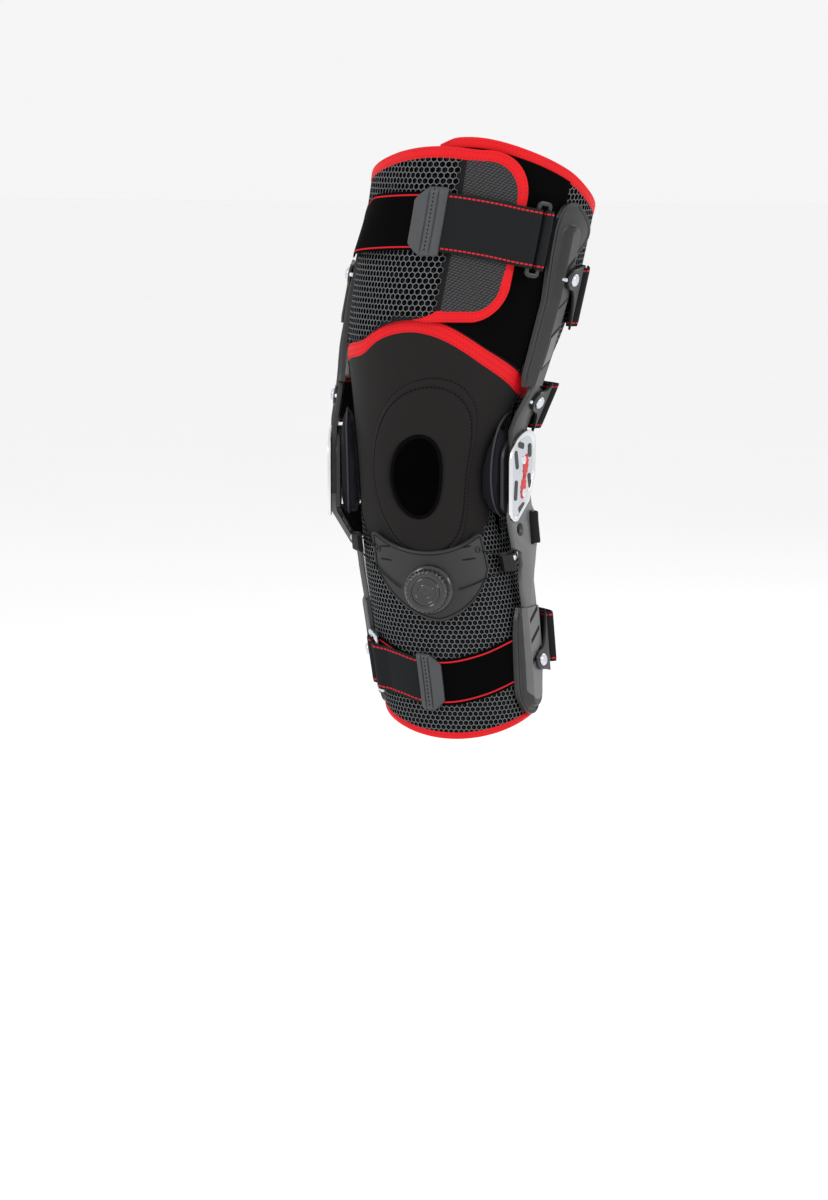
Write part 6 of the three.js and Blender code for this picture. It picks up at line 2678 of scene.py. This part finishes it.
@dataclass(frozen=True)
class TendonPlate:
    """Half-moon plate under the kneecap."""

    angle: float = 6.0
    half: float = 44.0
    depth: float = 5.6
    thick: float = 2.5
    top_dip: float = -56.0
    ear_rise: float = 16.0
    ear_corner: float = 8.0
    bottom: float = -60.0
    drop: float = 52.0
    seam_inset: float = 2.7
    slits: Sequence[tuple[Flat, Flat]] = (
        ((28, -53.5), (39, -52.3)), ((30, -63), (40.5, -62)), ((-30, -54), (-20, -53.3)),
        ((-31, -64), (-21, -64.5)),
    )
    slit_half: float = 0.7
    eyelets: Sequence[Flat] = ((43.5, -55.5), (-32.5, -56.5))
    eyelet_radius: float = 1.9

    def top_edge(self, angle: float) -> float:
        """Upper edge of the plate, with its ears rounded.

        Args:
            angle: angle from the front.

        Returns:
            Height of the edge.
        """
        side = abs(angle - self.angle)
        share = clamp((side - self.half + self.ear_corner) / self.ear_corner)
        corner = self.ear_corner * CALF_ARC * (1 - (1 - share**3) ** (1 / 3))
        return self.top_dip + self.ear_rise * (side / self.half) ** 2 - corner

    def bottom_edge(self, angle: float) -> float:
        """Lower edge of the plate, a flattened half round."""
        share = min(abs(angle - self.angle) / (self.half + 1), 1.0)
        return self.bottom - self.drop * (1 - share**1.6) ** 0.62

    def place(self, angle: float, share: float, level: float) -> Vector:
        """Point of the plate, which has a raised rim.

        Args:
            angle: angle from the front.
            share: share of its height.
            level: 1 on the outer face, 0 on the inner one.

        Returns:
            The point.
        """
        low, high = self.bottom_edge(angle), self.top_edge(angle)
        z = mix(low, high, share)
        reach = min(z - low, high - z, (self.half - abs(angle - self.angle)) * CALF_ARC)
        rim = 0.7 * dent(reach, 1.2, 0.9) - 0.9 * (1 - smooth_step(reach, 0.0, 1.0))
        return LEG.place(angle, z, self.depth + level * (self.thick - 0.35 + rim))

    def trim(self) -> None:
        """Makes the sewn line inside the rim, black slabs of painted shade for the slits in the ears, and the
        eyelets of the laces.
        """
        face = self.depth + self.thick - 0.3
        turns = spread(self.angle - self.half + 2.4, self.angle + self.half - 2.4, 120)
        loop = [LEG.place(turn, self.bottom_edge(turn) + self.seam_inset, face + 0.1) for turn in turns]
        loop += [LEG.place(turn, self.top_edge(turn) - self.seam_inset, face + 0.1) for turn in turns[::-1]]
        make_piece("tendon_plate_seam", rope(loop, 0.42, 6, ring=True), SLOT_BLACK)
        slits = []
        for ends in self.slits:

            def place(share: float, up: float, depth: float) -> Vector:
                """Point of a slit with rounded ends.

                Args:
                    share: share of its length.
                    up: share of its half width.
                    depth: depth outside the limb.

                Returns:
                    The point.
                """
                angle, z = mix_spots(*ends, share)
                round_end = math.sqrt(max(0.05, 1 - (2 * share - 1) ** 6))
                return LEG.place(angle, z + up * self.slit_half * round_end, depth)

            # Each slit is a black slab: painted shade where the slit opens.
            slits.append(slab(spread(0, 1, 14), spread(-1, 1, 2), place, (face + 0.12, face - 0.3)))
        make_piece("tendon_plate_slits", joined(*slits), SLOT_BLACK)
        rings = []
        for angle, z in self.eyelets:
            oval = Oval(angle, z, self.eyelet_radius / CALF_ARC, self.eyelet_radius)
            line = [LEG.place(*oval.at(share), face + 0.3) for share in spread(0, 1, 24)[:-1]]
            rings.append(rope(line, 0.6, 8, ring=True))
        make_piece("tendon_plate_eyelets", joined(*rings), DARK_PLASTIC)

    def build(self) -> None:
        """Makes the plate and its trim."""
        angles = [self.angle + self.half * math.sin(math.radians(way)) for way in spread(-90, 90, 96)]
        shares = [0, 0.01, 0.03, 0.06, 0.1] + spread(0.14, 0.86, 30) + [0.9, 0.94, 0.97, 0.99, 1]
        bm = slab(angles, shares, self.place)
        make_piece("tendon_plate_moulded", bm, PLATE_PLASTIC, "tendon_plate", crease=60)
        self.trim()


@dataclass(frozen=True)
class Dial:
    """Dial on the plate that winds the laces: base, hub and knurled grip."""

    angle: float = 4.0
    z: float = -86.0
    seat: float = 8.1
    base_radius: float = 19.5
    base_height: float = 5.0
    grip_radius: float = 17.5
    grip_height: float = 9.5
    hub_radius: float = 8.0
    cap_radius: float = 11.0
    cap_thick: float = 2.2
    running: float = 0.4
    teeth: int = 30
    tooth_depth: float = 1.1

    @property
    def low(self) -> float:
        """Lower end of the grip."""
        return self.base_height + self.running

    @property
    def high(self) -> float:
        """Upper end of the grip."""
        return self.low + self.grip_height

    def axis(self) -> Matrix:
        """Axes of the dial.

        Returns:
            Their place, from millimetres to metres.
        """
        seat = LEG.place(self.angle, self.z, self.seat + GAP)
        way = LEG.place(self.angle, self.z, self.seat + 1) - LEG.place(self.angle, self.z, self.seat)
        return aimed(seat, way.normalized(), "Z") @ Matrix.Scale(MM, 4)

    def hub_profile(self) -> list[Flat]:
        """Profile of the hub, whose cap has a raised rim and a raised middle.

        Returns:
            Radii and heights.
        """
        high, cap, shelf = self.high, self.cap_radius, self.high - self.cap_thick + self.running
        return [
            (0, 1.6), (4.4, 1.6), (4.4, self.low), (self.hub_radius, self.low), (self.hub_radius, shelf),
            (cap - 0.3, shelf), (cap, shelf + 0.3), (cap, high - 0.5), (cap - 0.5, high),
            (cap - 1.4, high + 0.2), (cap - 2.2, high + 0.1), (cap - 2.8, high - 0.5), (6.4, high - 0.5),
            (6.0, high), (5.2, high + 0.2), (4.6, high - 0.2), (2.0, high), (0, high + 0.15),
        ]

    def grip(self, axis: Matrix) -> BMesh:
        """Ring that is knurled outside and round inside.

        Args:
            axis: axes of the dial.

        Returns:
            Its mesh.
        """
        low, high, count = self.low, self.high, self.teeth * 4
        shelf, bore = high - self.cap_thick, self.cap_radius + self.running
        rims = []
        for index in range(count):
            tooth = 0.5 - 0.5 * math.cos(math.tau * index / count * self.teeth)
            rims.append(self.grip_radius - self.tooth_depth * tooth**0.7)
        knurled = [(low, 0.965), (low + 0.6, 1.0), (high - 2.4, 1.0), (high - 1.2, 0.965), (high - 0.4, 0.91)]
        knurled.append((high, 0.84))
        inside = [(high, bore + 1.1), (high - 0.5, bore), (shelf, bore), (shelf, 8.4), (low, 8.4)]

        def point(turn: int, ring: int) -> Vector:
            """Point of the grip's skin.

            Args:
                turn: step of the round.
                ring: ring of the skin.

            Returns:
                The point.
            """
            z, size = (knurled + inside)[ring]
            radius = size * rims[turn] if ring < len(knurled) else size
            way = math.tau * turn / count
            return axis @ Vector((radius * math.cos(way), radius * math.sin(way), z))

        return tube(count, len(knurled + inside), point, ring=True)

    def build(self) -> None:
        """Makes the base on the plate, and the hub and the grip on their own bodies."""
        axis = self.axis()
        rim = self.base_radius
        base = [
            (0, 0.4), (rim - 0.8, 0.4), (rim, 1.2), (rim, 2.6), (rim - 0.5, 3.6), (rim - 1.7, 4.7),
            (rim - 3, 5.0), (4.8, 5.0), (4.8, 1.2), (0, 1.2),
        ]
        make_piece("dial_base_moulded", lathe(base, axis, 72), DIAL_PLASTIC, "dial_base")
        hub = lathe(self.hub_profile(), axis, 64)
        make_piece("dial_hub_moulded", hub, DIAL_PLASTIC, "dial_hub", body="hub")
        make_piece("dial_grip_moulded", self.grip(axis), DIAL_PLASTIC, "dial_grip", body="knob", crease=50)


LACE_ROUTES = {
    Side.LATERAL: (
        (24.2, -86, 9.6), (36, -82, 9), (46, -78, 9.2), (55, -74.5, 10.6), (60.5, -72, 11.8), (63, -67, 12.4),
        (60.5, -62, 11.8), (55, -59.5, 10.6), (47, -57, 9),
    ),
    Side.MEDIAL: (
        (-16.2, -86, 9.6), (-27, -78, 9), (-37, -70, 9.2), (-48, -63, 10.2), (-54.5, -59, 10.8),
        (-57, -54, 11), (-54.5, -49, 10.8), (-48, -49.5, 10.2), (-35, -54, 9),
    ),
}
LACE_GUIDES = {Side.LATERAL: (64, -67, 9.5), Side.MEDIAL: (-58, -54, 8.2)}
GUIDE_SCREW = ((0, 0), (2.4, 0), (2.4, 0.5), (1.9, 1.1), (0.9, 1.4), (0.7, 1.1), (0, 1.1))


@dataclass(frozen=True)
class Laces:
    """Laces from the dial round a guide on each side and back to the plate."""

    radius: float = 0.6
    guide_wide: float = 13.0
    guide_tall: float = 15.0
    guide_thick: float = 6.0
    rib: float = 0.9
    screw: Flat = (0.86, 0.45)

    def guide(self, side: Side) -> None:
        """Makes the ribbed block that turns the lace, and its screw.

        Args:
            side: side of the guide.
        """
        angle, z, base = LACE_GUIDES[side]

        def place(u: float, v: float, depth: float) -> Vector:
            """Point of the block, which narrows at its ends."""
            x = u * self.guide_wide / 2 * (1 - 0.12 * max(0.0, (abs(v) - 0.7) / 0.3) ** 2)
            return LEG.place(angle + x / CALF_ARC, z + v * self.guide_tall / 2, base + depth)

        def ribbed(u: float, v: float, level: float) -> Vector:
            """Point of the block with upright ribs on its outer face.

            Args:
                u: share of its half width.
                v: share of its half height.
                level: 1 on the outer face, 0 on the inner one.

            Returns:
                The point.
            """
            rib = self.rib * (0.5 + 0.5 * math.cos(u * math.pi * 4)) * smooth_step(0.92 - abs(v), 0.0, 0.15)
            edge = 1.6 * smooth_step(max(abs(u), abs(v)), 0.78, 1.0)
            return place(u, v, level * (self.guide_thick - 0.9 + rib - edge))

        bm = slab(spread(-1, 1, 40), spread(-1, 1, 24), ribbed)
        spot = (self.screw[0] * side.sign, self.screw[1])
        seat = place(*spot, self.guide_thick - 1.1)
        matrix = aimed(seat, place(*spot, self.guide_thick) - seat, "Z") @ Matrix.Scale(MM, 4)
        name = f"lace_guide_{side.value}"
        make_piece(f"{name}_screw", lathe(GUIDE_SCREW, matrix, 20), STEEL)
        make_piece(f"{name}_moulded", bm, GUIDE_BLACK, name, crease=60)

    def build(self) -> None:
        """Makes both laces and their guides."""
        for side in Side:
            line = [LEG.place(*spot) for spot in curve_through(LACE_ROUTES[side], 8)]
            name = f"lace_{side.value}"
            make_piece(f"{name}_cord", rope(line, self.radius), LACE_CORD, name)
            self.guide(side)


@dataclass(frozen=True)
class Studio:
    """Pale floor, soft light and the camera of the photograph."""

    eye: Spot = (0.66924, -2.49765, 0.27177)
    aim: Spot = (-0.00818, -0.01537, -0.10155)
    lamp_aim: Spot = (0.02, 0, 0.03)
    view_degrees: float = 20.92
    floor_z: float = -0.47
    floor_half: float = 30.0
    sky: float = 0.92

    def add(self, name: str, data: bpy.types.ID, eye: Spot, aim: Spot) -> Piece:
        """Adds a camera or a lamp that looks at a place.

        Args:
            name: name of the object.
            data: camera or lamp.
            eye: its place.
            aim: place that it looks at.

        Returns:
            The object.
        """
        made = bpy.data.objects.new(name, data)
        made.matrix_world = aimed(Vector(eye), Vector(aim) - Vector(eye), "-Z")
        bpy.context.scene.collection.objects.link(made)
        return made

    def camera(self) -> None:
        """Sets the camera."""
        data = bpy.data.cameras.new("photo_view")
        data.sensor_fit = "VERTICAL"
        data.angle_y = math.radians(self.view_degrees)
        data.clip_end = 50
        bpy.context.scene.camera = self.add("photo_view", data, self.eye, self.aim)

    def floor(self) -> None:
        """Makes the pale floor that fades into the background."""
        bm = bmesh.new()
        bmesh.ops.create_grid(bm, x_segments=8, y_segments=8, size=self.floor_half)
        bmesh.ops.translate(bm, vec=(0, 0, self.floor_z), verts=bm.verts[:])
        mesh = bpy.data.meshes.new("floor")
        bm.to_mesh(mesh)
        bm.free()
        canvas = Canvas("pale_floor", Coords.OBJECT)
        tone = canvas.sketch.noise(canvas.where, 2.0, 2.0)
        canvas.link("Base Color", canvas.sketch.blend(tone, (0.97, 0.97, 0.97, 1), (0.99, 0.99, 0.99, 1)))
        canvas.fix(Roughness=0.9)
        mesh.materials.append(canvas.material)
        floor = bpy.data.objects.new("floor", mesh)
        bpy.context.scene.collection.objects.link(floor)

    def lamp(self, name: str, place: Spot, size: float, power: float) -> None:
        """Adds a soft lamp that faces the brace.

        Args:
            name: name of the lamp.
            place: its place.
            size: size of its face.
            power: power in watts.
        """
        data = bpy.data.lights.new(name, "AREA")
        data.size = size
        data.energy = power
        self.add(name, data, place, self.lamp_aim)

    def build(self) -> None:
        """Sets up the studio."""
        self.camera()
        self.floor()
        world = bpy.data.worlds.new("studio")
        world.use_nodes = True
        background = world.node_tree.nodes["Background"]
        background.inputs["Color"].default_value = (1, 1, 1, 1)
        background.inputs["Strength"].default_value = self.sky
        bpy.context.scene.world = world
        bpy.context.scene.view_settings.view_transform = "Standard"
        self.lamp("key", (-1.4, -2.2, 1.5), 0.7, 16)
        self.lamp("fill", (2.4, -1.0, 0.9), 0.7, 12)
        self.lamp("rear", (0.8, 2.0, 1.4), 1.4, 10)


def main() -> None:
    """Builds the studio and every part of the brace."""
    logging.basicConfig(level=logging.INFO, format="%(name)s %(message)s")
    parts = [Studio(), TAPE, KNEE, WRAP, THIGH_STRAP, CALF_STRAP]
    parts += [SideFrame(side) for side in Side]
    parts += [*back_straps(), TendonPlate(), Dial(), Laces()]
    for part in parts:
        LOG.info("building %s", type(part).__name__)
        part.build()


if __name__ == "__main__":
    main()
